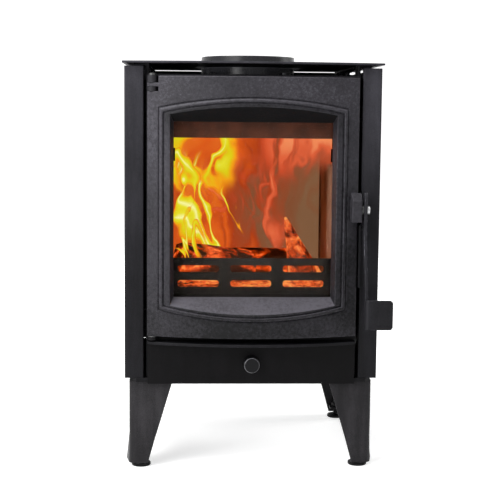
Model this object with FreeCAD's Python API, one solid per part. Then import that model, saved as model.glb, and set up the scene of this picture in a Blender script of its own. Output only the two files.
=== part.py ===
import FreeCAD, Part
import math
import os

from FreeCAD import Vector

# Frame: +Z up, front faces -Y, +X is the handle side.
# Origin: on the floor, at the middle of the four glide feet.

# Clearances
running_gap = 0.05
seat_gap = 0.3
swing_gap = 0.5

# Casing and top plate
casing_half_width = 197.0
casing_depth = 344.0
casing_sheet = 2.0
casing_flange = 29.5
casing_return = 8.0
casing_rear_flange = 20.0
casing_top_gap = 4.5
spacer_radius = 7.0
spacer_inset = 70.0
top_plate_side_overhang = 3.0
top_plate_sheet = 3.0
top_plate_top = 633.0
top_plate_front_overhang = 4.0
top_plate_rear_overhang = 8.0
top_plate_bow = 24.0
rear_panel_top_gap = 1.3
rear_panel_inset = 7.0
rear_slot_drop = 160.0
rear_slot_half_length = 35.0
rear_slot_pitch = 24.0
rear_slot_height = 7.0
rear_slot_edge_band = 60.0

# Base plate and firebox
base_plate_inset = 9.5
base_plate_bottom = 138.0
base_plate_sheet = 6.0
base_corner_cut = 8.0
firebox_side_gap = 3.5
firebox_sheet = 4.0
firebox_back_gap = 22.0
firebox_floor_rise = 84.0
roof_gap = 19.0
frame_sheet = 5.0
frame_setback = 8.0
frame_border = 27.0
frame_border_top = 44.0

# Door
door_side_gap = 6.0
door_bottom_gap = 9.5
door_top_gap = 22.5
door_edge_proud = 8.0
door_bow = 28.0
door_back_setback = 1.0
door_wall = 9.0
door_border = 40.0
door_border_low = 60.5
door_border_high = 68.5
reveal_slope = 0.70
reveal_side_slope = 0.34
reveal_wall = 5.0
moulding_border = 21.3
moulding_border_low = 18.1
moulding_border_high = 19.7
moulding_rise = 15.5
moulding_height = 4.0
moulding_shoulder = 1.6
moulding_bead = 4.6
moulding_channel = 2.6
moulding_channel_height = 0.6
moulding_band_height = 2.8
moulding_groove = 2.2
moulding_groove_depth = 1.4
glass_sheet = 4.0
glass_lap = 7.5
gasket_sheet = 2.0
clip_end = 2.4
clip_screw_gap = 5.0
rope_radius = 4.5
rope_inset = 16.5
rope_lap_low = 7.0
rope_lap_high = 9.0
rope_corner = 12.0

# Hinge
hinge_inset = 7.5
hinge_pin_radius = 4.0
hinge_lug_radius = 7.5
hinge_notch = 9.5
upper_lug_rise = 1.0
upper_lug_height = 11.0
lug_spacing = 17.5
second_lug_height = 6.5
lower_lug_height = 5.4
hinge_washer = 1.2

# Latch and handle
pivot_forward = 19.0
pivot_rise = 197.5
boss_inset = 10.5
boss_reach = 4.5
boss_half_height = 16.5
boss_forward = 28.0
pivot_bolt_radius = 4.0
pivot_head_radius = 6.8
pivot_head_height = 5.0
lever_sheet = 4.5
lever_spacer = 3.0
lever_eye_radius = 13.0
pad_width = 42.0
pad_height = 45.0
pad_drop = 179.0
pad_forward = 62.0
pad_corner = 5.0
lever_bend_radius = 6.0
strike_sheet = 3.0
strike_peg_radius = 3.5
strike_length = 97.0
strike_lap = 25.0
strike_margin = 5.0
peg_drop = 29.5
peg_forward = 7.0

# Lower front
hearth_lip_drop = 25.0
hearth_lip_sheet = 4.0
lower_panel_side_gap = 6.2
lower_panel_lap = 2.4
lower_panel_sheet = 3.0
lower_panel_proud = 4.0

# Air control
air_rise = 25.0
air_rod_radius = 4.0
air_travel = 35.0
knob_radius = 12.0
knob_length = 20.0
knob_stand_off = 3.0
damper_sheet = 2.0
damper_half_width = 60.0
damper_length = 80.0
air_inlet_half_width = 40.0
air_inlet_length = 50.0

# Flue
flue_setback = 122.0
flue_bore_radius = 75.5
flue_wall = 3.2
flue_rise = 16.0
flue_flange_radius = 92.0
flue_flange_sheet = 4.0
flue_bolt_circle = 85.0
top_plate_hole_radius = 87.4
roof_hole_radius = 70.0

# Lining and fire bed
brick_thickness = 25.0
brick_drop = 70.0
baffle_sheet = 8.0
baffle_setback = 97.0
baffle_side_gap = 3.0
bearer_width = 14.0
grate_rise = 36.0
grate_sheet = 8.0
grate_side_gap = 1.0
grate_edge_band = 30.0
grate_slot_width = 9.0
guard_height = 56.0
guard_sheet = 4.0
guard_setback = 38.0
guard_bar = 18.0
guard_end_band = 18.5
guard_slot_height = 11.0
guard_row_low_rise = 15.5
guard_row_high_rise = 39.2
pan_sheet = 1.5
pan_height = 32.0
pan_lip_half_width = 35.0
pan_lip_length = 12.0
deflector_drop = 25.0
deflector_reach = 18.0
deflector_sheet = 3.0
deflector_side_gap = 4.0

# Legs and feet
leg_sheet = 4.0
leg_cap_reach = 58.0
leg_flare_low = 48.0
leg_flare_high = 78.0
leg_bend_radius = 10.0
leg_foot_front = 29.5
leg_foot_side = 34.0
leg_top_front = 68.0
leg_top_side = 66.0
leg_splay = 5.5
leg_overhang = 3.0
leg_setback = 4.0
leg_bottom = 6.5
foot_side_inset = 18.5
foot_setback = 16.0
foot_stud_top = 32.0
leg_bolt_near = 18.0
leg_bolt_far = 42.0
leg_bolt_radius = 4.0
leg_bolt_hole_radius = 4.3
foot_disc_radius = 15.0
foot_disc_height = 5.0
foot_stud_radius = 4.0
foot_plate_bottom = 16.0
foot_plate_sheet = 4.0
foot_nut_height = 6.5
foot_nut_flats = 13.0

# Derived positions
front_y = -casing_depth / 2
rear_y = casing_depth / 2
flange_inner_x = casing_half_width - casing_flange
top_plate_half_width = casing_half_width + top_plate_side_overhang
rear_panel_half_width = casing_half_width - rear_panel_inset
base_plate_half_width = casing_half_width - base_plate_inset
firebox_half_width = flange_inner_x - firebox_side_gap
frame_opening_half_width = firebox_half_width - frame_border
door_half_width = flange_inner_x - door_side_gap
lower_panel_half_width = flange_inner_x - lower_panel_side_gap
aperture_half_width = door_half_width - door_border
moulding_half_width = aperture_half_width + moulding_border
rope_half_width = door_half_width - rope_inset
hinge_x = hinge_inset - door_half_width
boss_inner_x = door_half_width - boss_inset
boss_outer_x = door_half_width + boss_reach
leg_outer_x = base_plate_half_width + leg_overhang
foot_x = leg_outer_x - foot_side_inset
firebox_back = rear_y - firebox_back_gap
flue_y = rear_y - flue_setback
guard_y = front_y + guard_setback
leg_front = -front_y - leg_setback
foot_y = leg_front - foot_setback
boss_front = boss_forward - front_y
base_plate_top = base_plate_bottom + base_plate_sheet
lower_panel_bottom = base_plate_bottom - lower_panel_lap
air_z = base_plate_top + air_rise
firebox_floor_top = base_plate_top + firebox_floor_rise
firebox_roof_top = top_plate_top - roof_gap
frame_opening_top = firebox_roof_top - frame_border_top
hearth_lip_top = firebox_floor_top - hearth_lip_drop
door_bottom = hearth_lip_top + door_bottom_gap
door_top = top_plate_top - door_top_gap
aperture_bottom = door_bottom + door_border_low
aperture_top = door_top - door_border_high
moulding_corner_low = aperture_bottom - moulding_border_low
moulding_corner_high = aperture_top + moulding_border_high
rope_bottom = firebox_floor_top - rope_lap_low
rope_top = frame_opening_top + rope_lap_high
upper_lug_top = door_top + upper_lug_rise
upper_lug_bottom = upper_lug_top - upper_lug_height
second_lug_top = upper_lug_top - lug_spacing
second_lug_bottom = second_lug_top - second_lug_height
pivot_z = door_bottom + pivot_rise
pad_bottom = pivot_z - pad_drop
flue_top = top_plate_top + flue_rise
brick_top = frame_opening_top - brick_drop
grate_bottom = firebox_floor_top + grate_rise
deflector_bottom = aperture_top - deflector_drop
top_plate_bottom = top_plate_top - top_plate_sheet
wall_inner_x = firebox_half_width - firebox_sheet
frame_front = front_y + frame_setback
frame_back = frame_front + frame_sheet
back_wall_front = firebox_back - firebox_sheet
door_edge_y = front_y - door_edge_proud
door_front_y = door_edge_y - door_bow
door_back_y = front_y + door_back_setback
door_radius = (door_half_width ** 2 + door_bow ** 2) / (2 * door_bow)
door_axis_y = door_front_y + door_radius
hinge_y = (door_edge_y + door_back_y) / 2 - 1.0
ledge_y = door_back_y - glass_sheet - gasket_sheet - 1.0
reveal_back = reveal_slope * (ledge_y - door_front_y - door_wall) + reveal_wall
pivot_y = front_y - pivot_forward
lever_inner_x = boss_outer_x + lever_spacer + running_gap * 2
lever_outer_x = lever_inner_x + lever_sheet
pad_front_y = front_y - pad_forward
panel_front_y = front_y - lower_panel_proud
flue_outer_radius = flue_bore_radius + flue_wall
leg_top = base_plate_bottom
grate_top = grate_bottom + grate_sheet
brick_inner_x = wall_inner_x - brick_thickness
guard_top = grate_top + guard_height
guard_row_low = grate_top + guard_row_low_rise
guard_row_high = grate_top + guard_row_high_rise
guard_half_width = brick_inner_x - grate_side_gap
guard_slot_pitch = (2 * (guard_half_width - guard_end_band) + guard_bar) / 3
guard_slot_length = guard_slot_pitch - guard_bar
grate_slot_pitch = (brick_inner_x - grate_edge_band) / 5


def box(x0, x1, y0, y1, z0, z1):
    """Box between two corners."""
    return Part.makeBox(x1 - x0, y1 - y0, z1 - z0, Vector(x0, y0, z0))


def rod(radius, length, start, direction):
    """Round bar from a start point."""
    return Part.makeCylinder(radius, length, Vector(*start), Vector(*direction))


def mirror_x(shape):
    """Copy on the other side of the middle plane."""
    return shape.mirror(Vector(0, 0, 0), Vector(1, 0, 0))


def mirror_y(shape):
    """Copy at the other end of the stove."""
    return shape.mirror(Vector(0, 0, 0), Vector(0, 1, 0))


def joined(shapes):
    """One solid from touching pieces."""
    first = shapes[0]
    return first.fuse(shapes[1:]).removeSplitter()


def upright_edges(shape, x, y):
    """Edges parallel to Z that stand at a plan position."""
    found = []
    for edge in shape.Edges:
        ends = [v.Point for v in edge.Vertexes]
        if len(ends) != 2:
            continue
        flat = all(abs(p.x - x) < 0.01 and abs(p.y - y) < 0.01 for p in ends)
        if flat and abs(ends[0].z - ends[1].z) > 0.5:
            found.append(edge)
    return found


def rounded_plate(x0, x1, z0, z1, y0, y1, radius):
    """Upright plate facing front, with round corners."""
    plate = box(x0, x1, y0, y1, z0, z1)
    corners = []
    for edge in plate.Edges:
        ends = [v.Point for v in edge.Vertexes]
        if abs(ends[0].y - ends[1].y) > 0.01:
            corners.append(edge)
    return plate.makeFillet(radius, corners)


def hex_bar(flats, height, centre):
    """Hexagon prism standing on its centre point."""
    corner = flats / math.sqrt(3)
    points = []
    for i in range(7):
        turn = math.radians(60 * i)
        points.append(Vector(centre[0] + corner * math.cos(turn), centre[1] + corner * math.sin(turn), centre[2]))
    return Part.Face(Part.makePolygon(points)).extrude(Vector(0, 0, height))


def bowed_slab(half_width, bow, edge_y, back_y, z0, z1):
    """Slab with a flat back and a front bowed in plan."""
    left = Vector(-half_width, edge_y, z0)
    right = Vector(half_width, edge_y, z0)
    middle = Vector(0, edge_y - bow, z0)
    back_right = Vector(half_width, back_y, z0)
    back_left = Vector(-half_width, back_y, z0)
    edges = [
        Part.Arc(left, middle, right).toShape(),
        Part.makeLine(right, back_right),
        Part.makeLine(back_right, back_left),
        Part.makeLine(back_left, left),
    ]
    return Part.Face(Part.Wire(edges)).extrude(Vector(0, 0, z1 - z0))


def arched_prism(half_width, low, high, rise, y0, y1):
    """Prism along Y whose top and bottom edges are arched outward."""
    a = Vector(-half_width, y0, low)
    b = Vector(half_width, y0, low)
    c = Vector(half_width, y0, high)
    d = Vector(-half_width, y0, high)
    edges = [
        Part.Arc(a, Vector(0, y0, low - rise), b).toShape(),
        Part.makeLine(b, c),
        Part.Arc(c, Vector(0, y0, high + rise), d).toShape(),
        Part.makeLine(d, a),
    ]
    return Part.Face(Part.Wire(edges)).extrude(Vector(0, y1 - y0, 0))


def save(shape, name):
    """Write one piece."""
    shape.exportStep("parts/" + name + ".step")


def base_plate():
    plate = box(-base_plate_half_width, base_plate_half_width, panel_front_y + lower_panel_sheet, rear_y - 4.0,
                base_plate_bottom, base_plate_top)
    corners = [e for e in plate.Edges if abs(e.Vertexes[0].Z - e.Vertexes[1].Z) > 1.0]
    plate = plate.makeChamfer(base_corner_cut, corners)
    inlet = box(-air_inlet_half_width, air_inlet_half_width, damper_front_y() + 15.0,
                damper_front_y() + 15.0 + air_inlet_length, base_plate_bottom - 1, base_plate_top + 1)
    plate = plate.cut(inlet)
    for x, y in leg_bolt_points():
        plate = plate.cut(rod(leg_bolt_hole_radius, base_plate_sheet + 2, (x, y, base_plate_bottom - 1), (0, 0, 1)))
    return plate


def damper_front_y():
    """Front edge of the damper at rest, pushed in."""
    return frame_back + air_travel + 8.0


def leg_bolt_points():
    points = []
    for sx in (-1, 1):
        for sy in (-1, 1):
            points.append((sx * (leg_outer_x - leg_bolt_far), sy * (leg_front - leg_bolt_near)))
            points.append((sx * (leg_outer_x - leg_bolt_near), sy * (leg_front - leg_bolt_far)))
    return points


def firebox_wall():
    wall = box(wall_inner_x, firebox_half_width, frame_back, firebox_back, base_plate_top, top_plate_bottom)
    vent = box(wall_inner_x - 1, firebox_half_width + 1, frame_back + 30, firebox_back - 30,
               firebox_roof_top + 3, top_plate_bottom - 3)
    return wall.cut(vent)


def firebox_back_wall():
    return box(-wall_inner_x, wall_inner_x, back_wall_front, firebox_back, base_plate_top,
               firebox_roof_top - firebox_sheet)


def firebox_roof():
    roof = box(-wall_inner_x, wall_inner_x, frame_back, firebox_back,
               firebox_roof_top - firebox_sheet, firebox_roof_top)
    roof = roof.cut(rod(roof_hole_radius, 20, (0, flue_y, firebox_roof_top - 10), (0, 0, 1)))
    for x, y in collar_bolt_points():
        roof = roof.cut(rod(3.1, 20, (x, y, firebox_roof_top - 10), (0, 0, 1)))
    return roof


def collar_bolt_points():
    points = []
    for i in range(4):
        turn = math.radians(45 + 90 * i)
        points.append((flue_bolt_circle * math.cos(turn), flue_y + flue_bolt_circle * math.sin(turn)))
    return points


def firebox_floor():
    floor = box(-wall_inner_x, wall_inner_x, frame_back, back_wall_front,
                firebox_floor_top - firebox_sheet, firebox_floor_top)
    air_slot = box(-70, 70, back_wall_front - brick_thickness - 16, back_wall_front - brick_thickness - 4,
                   firebox_floor_top - firebox_sheet - 1, firebox_floor_top + 1)
    return floor.cut(air_slot)


def front_frame():
    plate = box(-firebox_half_width, firebox_half_width, frame_front, frame_back, base_plate_top, firebox_roof_top)
    opening = rounded_plate(-frame_opening_half_width, frame_opening_half_width, firebox_floor_top,
                            frame_opening_top, frame_front - 1, frame_back + 1, 10.0)
    plate = plate.cut(opening)
    return plate.cut(rod(air_rod_radius + running_gap, 20, (0, frame_front - 5, air_z), (0, 1, 0)))


def hinge_lug(z0, z1):
    """Lug with a round nose about the pin and an arm back to the front frame."""
    nose = rod(hinge_lug_radius, z1 - z0, (hinge_x, hinge_y, z0), (0, 0, 1))
    arm = box(hinge_x - hinge_lug_radius, hinge_x + hinge_lug_radius, hinge_y, frame_front, z0, z1)
    hole = rod(hinge_pin_radius + running_gap, z1 - z0 + 2, (hinge_x, hinge_y, z0 - 1), (0, 0, 1))
    return joined([nose, arm]).cut(hole)


def lower_lug_top():
    return door_bottom - seat_gap - hinge_washer


def lower_lug():
    return hinge_lug(lower_lug_top() - lower_lug_height, lower_lug_top())


def lower_hinge_washer():
    ring = rod(hinge_lug_radius, hinge_washer, (hinge_x, hinge_y, lower_lug_top()), (0, 0, 1))
    return ring.cut(rod(hinge_pin_radius + running_gap, 10, (hinge_x, hinge_y, lower_lug_top() - 5), (0, 0, 1)))


def lower_hinge_pin():
    start = lower_lug_top() - lower_lug_height
    return rod(hinge_pin_radius, door_bottom + 22.0 - start, (hinge_x, hinge_y, start), (0, 0, 1))


def upper_hinge_pin():
    shank = rod(hinge_pin_radius, upper_lug_top - second_lug_bottom + 2, (hinge_x, hinge_y, second_lug_bottom - 2),
                (0, 0, 1))
    head = rod(hinge_pin_radius + 2, 3, (hinge_x, hinge_y, upper_lug_top), (0, 0, 1))
    return joined([shank, head])


def hearth_lip():
    return bowed_slab(lower_panel_half_width, door_bow, door_edge_y, frame_front,
                      hearth_lip_top - hearth_lip_sheet, hearth_lip_top)


def lower_front_panel():
    top = hearth_lip_top - hearth_lip_sheet
    face = box(-lower_panel_half_width, lower_panel_half_width, panel_front_y, panel_front_y + lower_panel_sheet,
               lower_panel_bottom, top)
    side = box(lower_panel_half_width - lower_panel_sheet, lower_panel_half_width, panel_front_y, frame_front,
               base_plate_top, top)
    panel = joined([face, side, mirror_x(side)])
    return panel.cut(rod(air_rod_radius + 2.5, 30, (0, panel_front_y - 10, air_z), (0, 1, 0)))


def side_panel():
    """Folded casing on the handle side."""
    top = top_plate_bottom - casing_top_gap
    inner = flange_inner_x
    web_x = casing_half_width - casing_sheet
    web = box(web_x, casing_half_width, front_y, rear_y, base_plate_top, top)
    flange = box(inner, casing_half_width, front_y, front_y + casing_sheet, base_plate_top, top)
    back_fold = box(inner, inner + casing_sheet, front_y, front_y + casing_return, base_plate_top, top)
    rear = box(casing_half_width - casing_rear_flange, casing_half_width, rear_y - casing_sheet, rear_y,
               base_plate_top, top)
    seat = box(base_plate_half_width - 14, casing_half_width, -90, 90, base_plate_top, base_plate_top + casing_sheet)
    panel = joined([web, flange, back_fold, rear, seat])
    panel = panel.makeFillet(1.6, upright_edges(panel, inner, front_y))
    panel = panel.makeFillet(3.0, upright_edges(panel, casing_half_width, front_y))
    panel = panel.makeFillet(3.0, upright_edges(panel, casing_half_width, rear_y))
    for x, y, z in rear_screw_points():
        panel = panel.cut(rod(2.1, 20, (x, y - 10, z), (0, 1, 0)))
    return panel


def side_spacers():
    """Stand-offs that hold the casing off the firebox wall."""
    spacers = []
    for y in (front_y + spacer_inset, rear_y - spacer_inset):
        for z in (base_plate_top + spacer_inset, firebox_roof_top - spacer_inset):
            length = casing_half_width - casing_sheet - firebox_half_width
            spacers.append(rod(spacer_radius, length, (firebox_half_width, y, z), (1, 0, 0)))
    return Part.makeCompound(spacers)


def rear_screw_points():
    points = []
    low = base_plate_top + 40
    high = top_plate_bottom - 45
    for z in (low, (low + high) / 2, high):
        points.append((casing_half_width - casing_rear_flange / 2 - 3, rear_y, z))
    return points


def rear_panel():
    panel = box(-rear_panel_half_width, rear_panel_half_width, rear_y, rear_y + casing_sheet, base_plate_top,
                top_plate_bottom - rear_panel_top_gap)
    for x, y, z in rear_screw_points():
        for sx in (-1, 1):
            panel = panel.cut(rod(2.1, 20, (sx * x, y - 10, z), (0, 1, 0)))
    for row in range(5):
        for column in (-1, 0, 1):
            x = column * (rear_panel_half_width - rear_slot_edge_band - rear_slot_half_length)
            z = top_plate_bottom - rear_slot_drop + row * rear_slot_pitch
            slot = rounded_plate(x - rear_slot_half_length, x + rear_slot_half_length, z, z + rear_slot_height,
                                 rear_y - 5, rear_y + 10, rear_slot_height / 2 - 0.1)
            panel = panel.cut(slot)
    return panel


def rear_screws():
    screws = []
    for x, y, z in rear_screw_points():
        for sx in (-1, 1):
            shank = rod(2.0, 8, (sx * x, rear_y + casing_sheet - 8, z), (0, 1, 0))
            head = rod(4.0, 2.4, (sx * x, rear_y + casing_sheet, z), (0, 1, 0))
            screws.append(joined([shank, head]))
    return Part.makeCompound(screws)


def plate_bracket_points():
    points = []
    for sx in (-1, 1):
        for y in (front_y + 45, rear_y - 60):
            points.append((sx, y))
    return points


def top_plate():
    plate = bowed_slab(top_plate_half_width, top_plate_bow, front_y - top_plate_front_overhang,
                       rear_y + top_plate_rear_overhang, top_plate_bottom, top_plate_top)
    plate = plate.cut(rod(top_plate_hole_radius, 20, (0, flue_y, top_plate_bottom - 10), (0, 0, 1)))
    for sx, y in plate_bracket_points():
        plate = plate.cut(rod(2.6, 20, (sx * (firebox_half_width + 11), y, top_plate_bottom - 10), (0, 0, 1)))
    return plate


def top_plate_brackets():
    brackets = []
    for sx, y in plate_bracket_points():
        leg = box(firebox_half_width, firebox_half_width + 3, y - 15, y + 15, top_plate_bottom - 24, top_plate_bottom)
        arm = box(firebox_half_width, firebox_half_width + 20, y - 15, y + 15, top_plate_bottom - 3, top_plate_bottom)
        bracket = joined([leg, arm])
        bracket = bracket.cut(rod(2.6, 20, (firebox_half_width + 11, y, top_plate_bottom - 10), (0, 0, 1)))
        brackets.append(bracket if sx > 0 else mirror_x(bracket))
    return Part.makeCompound(brackets)


def top_plate_screws():
    screws = []
    for sx, y in plate_bracket_points():
        x = sx * (firebox_half_width + 11)
        shank = rod(2.5, 12, (x, y, top_plate_top - 12), (0, 0, 1))
        head = rod(5.0, 2.0, (x, y, top_plate_top), (0, 0, 1))
        head = head.makeFillet(1.2, [e for e in head.Edges if abs(e.BoundBox.ZMin - top_plate_top - 2.0) < 0.01])
        screws.append(joined([shank, head]))
    return Part.makeCompound(screws)


def flue_collar():
    tube = rod(flue_outer_radius, flue_top - firebox_roof_top, (0, flue_y, firebox_roof_top), (0, 0, 1))
    flange = rod(flue_flange_radius, flue_flange_sheet, (0, flue_y, firebox_roof_top), (0, 0, 1))
    collar = joined([tube, flange])
    rim = [e for e in collar.Edges if abs(e.BoundBox.ZMin - flue_top) < 0.01]
    collar = collar.makeFillet(1.0, rim)
    collar = collar.cut(rod(flue_bore_radius, 80, (0, flue_y, firebox_roof_top - 10), (0, 0, 1)))
    for x, y in collar_bolt_points():
        collar = collar.cut(rod(3.1, 20, (x, y, firebox_roof_top - 10), (0, 0, 1)))
    return collar


def collar_bolts():
    bolts = []
    for x, y in collar_bolt_points():
        under = firebox_roof_top + flue_flange_sheet
        shank = rod(3.0, 14, (x, y, under - 14), (0, 0, 1))
        head = hex_bar(9.0, 4.0, (x, y, under))
        bolts.append(joined([shank, head]))
    return Part.makeCompound(bolts)


def fold_section(front_end, corner, side_end, radius, z):
    """Closed outline of a two-wing folded sheet at one height."""
    p0 = Vector(front_end[0], front_end[1], z)
    p1 = Vector(corner[0], corner[1], z)
    p2 = Vector(side_end[0], side_end[1], z)
    d1 = (p0 - p1).normalize()
    d2 = (p2 - p1).normalize()
    half = d1.getAngle(d2) / 2
    middle = (d1 + d2).normalize()
    centre = p1 + middle * (radius / math.sin(half))
    t1 = p1 + d1 * (radius / math.tan(half))
    t2 = p1 + d2 * (radius / math.tan(half))
    n1 = (centre - t1).normalize()
    n2 = (centre - t2).normalize()
    i0 = p0 + n1 * leg_sheet
    i1 = t1 + n1 * leg_sheet
    i2 = t2 + n2 * leg_sheet
    i3 = p2 + n2 * leg_sheet
    outer_mid = centre - middle * radius
    inner_mid = centre - middle * (radius - leg_sheet)
    edges = [
        Part.makeLine(p0, t1),
        Part.Arc(t1, outer_mid, t2).toShape(),
        Part.makeLine(t2, p2),
        Part.makeLine(p2, i3),
        Part.makeLine(i3, i2),
        Part.Arc(i2, inner_mid, i1).toShape(),
        Part.makeLine(i1, i0),
        Part.makeLine(i0, p0),
    ]
    return Part.Wire(edges)


def leg():
    """Front leg on the handle side: tapering folded corner that flares at the foot."""
    y = -leg_front
    sections = [
        fold_section((leg_outer_x - leg_foot_front, y), (leg_outer_x - 1.0, y),
                     (leg_outer_x + leg_splay, y + leg_foot_side), leg_bend_radius + 2.0, leg_bottom),
        fold_section((leg_outer_x - 41.0, y), (leg_outer_x - 0.5, y), (leg_outer_x + 1.5, y + 44),
                     leg_bend_radius + 1.0, leg_flare_low),
        fold_section((leg_outer_x - 50.0, y), (leg_outer_x, y), (leg_outer_x, y + 52), leg_bend_radius, leg_flare_high),
        fold_section((leg_outer_x - leg_top_front, y), (leg_outer_x, y), (leg_outer_x, y + leg_top_side),
                     leg_bend_radius, leg_top),
    ]
    shell = Part.makeLoft(sections, True, True)
    inner_x = leg_outer_x - leg_sheet / 2
    inner_y = y + leg_sheet / 2
    cap = box(leg_outer_x - leg_cap_reach, inner_x, inner_y, y + leg_cap_reach, leg_top - leg_sheet, leg_top)
    sole = box(foot_x - 11, inner_x - 2, inner_y, y + 28, foot_plate_bottom, foot_plate_bottom + foot_plate_sheet)
    whole = joined([shell, cap, sole])
    whole = whole.cut(rod(foot_stud_radius + running_gap, 20, (foot_x, -foot_y, foot_plate_bottom - 8), (0, 0, 1)))
    for bx, by in leg_bolt_points():
        if bx > 0 and by < 0:
            whole = whole.cut(rod(leg_bolt_hole_radius, 20, (bx, by, leg_top - 12), (0, 0, 1)))
    return whole


def leg_bolts():
    bolts = []
    for x, y in leg_bolt_points():
        under = leg_top - leg_sheet
        shank = rod(leg_bolt_radius, base_plate_top - under, (x, y, under), (0, 0, 1))
        head = hex_bar(13.0, 5.3, (x, y, under - 5.3))
        bolts.append(joined([shank, head]))
    return Part.makeCompound(bolts)


def foot_lock_nuts():
    nuts = []
    for sx in (-1, 1):
        for sy in (-1, 1):
            place = (sx * foot_x, sy * foot_y, foot_plate_bottom + foot_plate_sheet)
            nut = hex_bar(foot_nut_flats, foot_nut_height, place)
            nuts.append(nut.cut(rod(foot_stud_radius + running_gap, 20, (place[0], place[1], place[2] - 5), (0, 0, 1))))
    return Part.makeCompound(nuts)


def foot(sx, sy):
    disc = rod(foot_disc_radius, foot_disc_height, (sx * foot_x, sy * foot_y, 0), (0, 0, 1))
    rim = [e for e in disc.Edges if len(e.Vertexes) == 1]
    disc = disc.makeChamfer(1.0, rim)
    stud_length = foot_stud_top - foot_disc_height
    stud = rod(foot_stud_radius, stud_length, (sx * foot_x, sy * foot_y, foot_disc_height), (0, 0, 1))
    return joined([disc, stud])


def side_brick():
    return box(brick_inner_x, wall_inner_x, guard_y + 12, back_wall_front, firebox_floor_top, brick_top)


def back_brick():
    return box(-brick_inner_x + seat_gap, brick_inner_x - seat_gap, back_wall_front - brick_thickness, back_wall_front,
               firebox_floor_top, brick_top)


def baffle_plate():
    half = wall_inner_x - baffle_side_gap
    return box(-half, half, front_y + baffle_setback, back_wall_front, brick_top, brick_top + baffle_sheet)


def bearer():
    return box(brick_inner_x - bearer_width, brick_inner_x, guard_y + 12, back_wall_front - brick_thickness,
               firebox_floor_top, grate_bottom)


def grate():
    front = guard_y - 3
    back = back_wall_front - brick_thickness - 1
    plate = box(-guard_half_width, guard_half_width, front, back, grate_bottom, grate_top)
    for i in range(-5, 6):
        for y0, y1 in ((guard_y + 22, -12), (6, back - 18)):
            x = i * grate_slot_pitch
            slot = box(x - grate_slot_width / 2, x + grate_slot_width / 2, y0, y1, grate_bottom - 1, grate_top + 1)
            plate = plate.cut(slot)
    return plate


def log_guard():
    plate = rounded_plate(-guard_half_width, guard_half_width, grate_top, guard_top, guard_y,
                          guard_y + guard_sheet, 2.0)
    for column in (-1, 0, 1):
        for row in (guard_row_low, guard_row_high):
            x = column * guard_slot_pitch
            slot = rounded_plate(x - guard_slot_length / 2, x + guard_slot_length / 2, row - guard_slot_height / 2,
                                 row + guard_slot_height / 2, guard_y - 5, guard_y + 10, 4.5)
            plate = plate.cut(slot)
    return plate


def ash_pan():
    half = brick_inner_x - bearer_width - 2
    front = guard_y + 4
    back = back_wall_front - brick_thickness - 26
    outer = box(-half, half, front, back, firebox_floor_top, firebox_floor_top + pan_height)
    inner = box(-half + pan_sheet, half - pan_sheet, front + pan_sheet, back - pan_sheet,
                firebox_floor_top + pan_sheet, firebox_floor_top + pan_height + 1)
    lip_top = firebox_floor_top + pan_height - 6
    lip = box(-pan_lip_half_width, pan_lip_half_width, front - pan_lip_length, front, lip_top - 2, lip_top)
    return joined([outer.cut(inner), lip])


def air_wash_deflector():
    top = firebox_roof_top - firebox_sheet
    y = frame_back
    points = [(y, top), (y, top - 14), (y + 6, top - 18), (y + deflector_reach, deflector_bottom),
              (y + deflector_reach + deflector_sheet, deflector_bottom), (y + 6 + deflector_sheet, top - 16),
              (y + deflector_sheet, top)]
    wire = Part.makePolygon([Vector(deflector_side_gap - wall_inner_x, a, b) for a, b in points + points[:1]])
    return Part.Face(wire).extrude(Vector(2 * (wall_inner_x - deflector_side_gap), 0, 0))


def damper_guides():
    rails = []
    for sx in (-1, 1):
        x0 = damper_half_width + 0.5
        y0 = damper_front_y() - air_travel - 4
        y1 = damper_front_y() + damper_length + 12
        upright = box(x0, x0 + 3, y0, y1, base_plate_top, base_plate_top + damper_sheet + 4)
        cover = box(x0 - 7, x0 + 3, y0, y1, base_plate_top + damper_sheet + 1, base_plate_top + damper_sheet + 4)
        rail = joined([upright, cover])
        rails.append(rail if sx > 0 else mirror_x(rail))
    return Part.makeCompound(rails)


def air_damper():
    y0 = damper_front_y()
    low = base_plate_top + running_gap
    plate = box(-damper_half_width, damper_half_width, y0, y0 + damper_length, low, low + damper_sheet)
    tab = box(-15, 15, y0, y0 + damper_sheet, low, air_z + 12)
    return joined([plate, tab])


def air_rod():
    y0 = knob_back_y() - knob_length + 6
    return rod(air_rod_radius, damper_front_y() - y0, (0, y0, air_z), (0, 1, 0))


def knob_back_y():
    return panel_front_y - knob_stand_off


def air_knob():
    start = knob_back_y() - knob_length
    body = rod(knob_radius, knob_length, (0, start, air_z), (0, 1, 0))
    rims = [e for e in body.Edges if len(e.Vertexes) == 1]
    body = body.makeFillet(2.0, [e for e in rims if abs(e.BoundBox.YMin - start) < 0.01])
    return body.cut(rod(air_rod_radius, knob_length, (0, start + 6, air_z), (0, 1, 0)))


def moulding_prism(inset, near):
    """Arched outline of the moulding, set in from its outer edge."""
    return arched_prism(moulding_half_width - inset, moulding_corner_low + inset, moulding_corner_high - inset,
                        moulding_rise, near, ledge_y)


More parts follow.
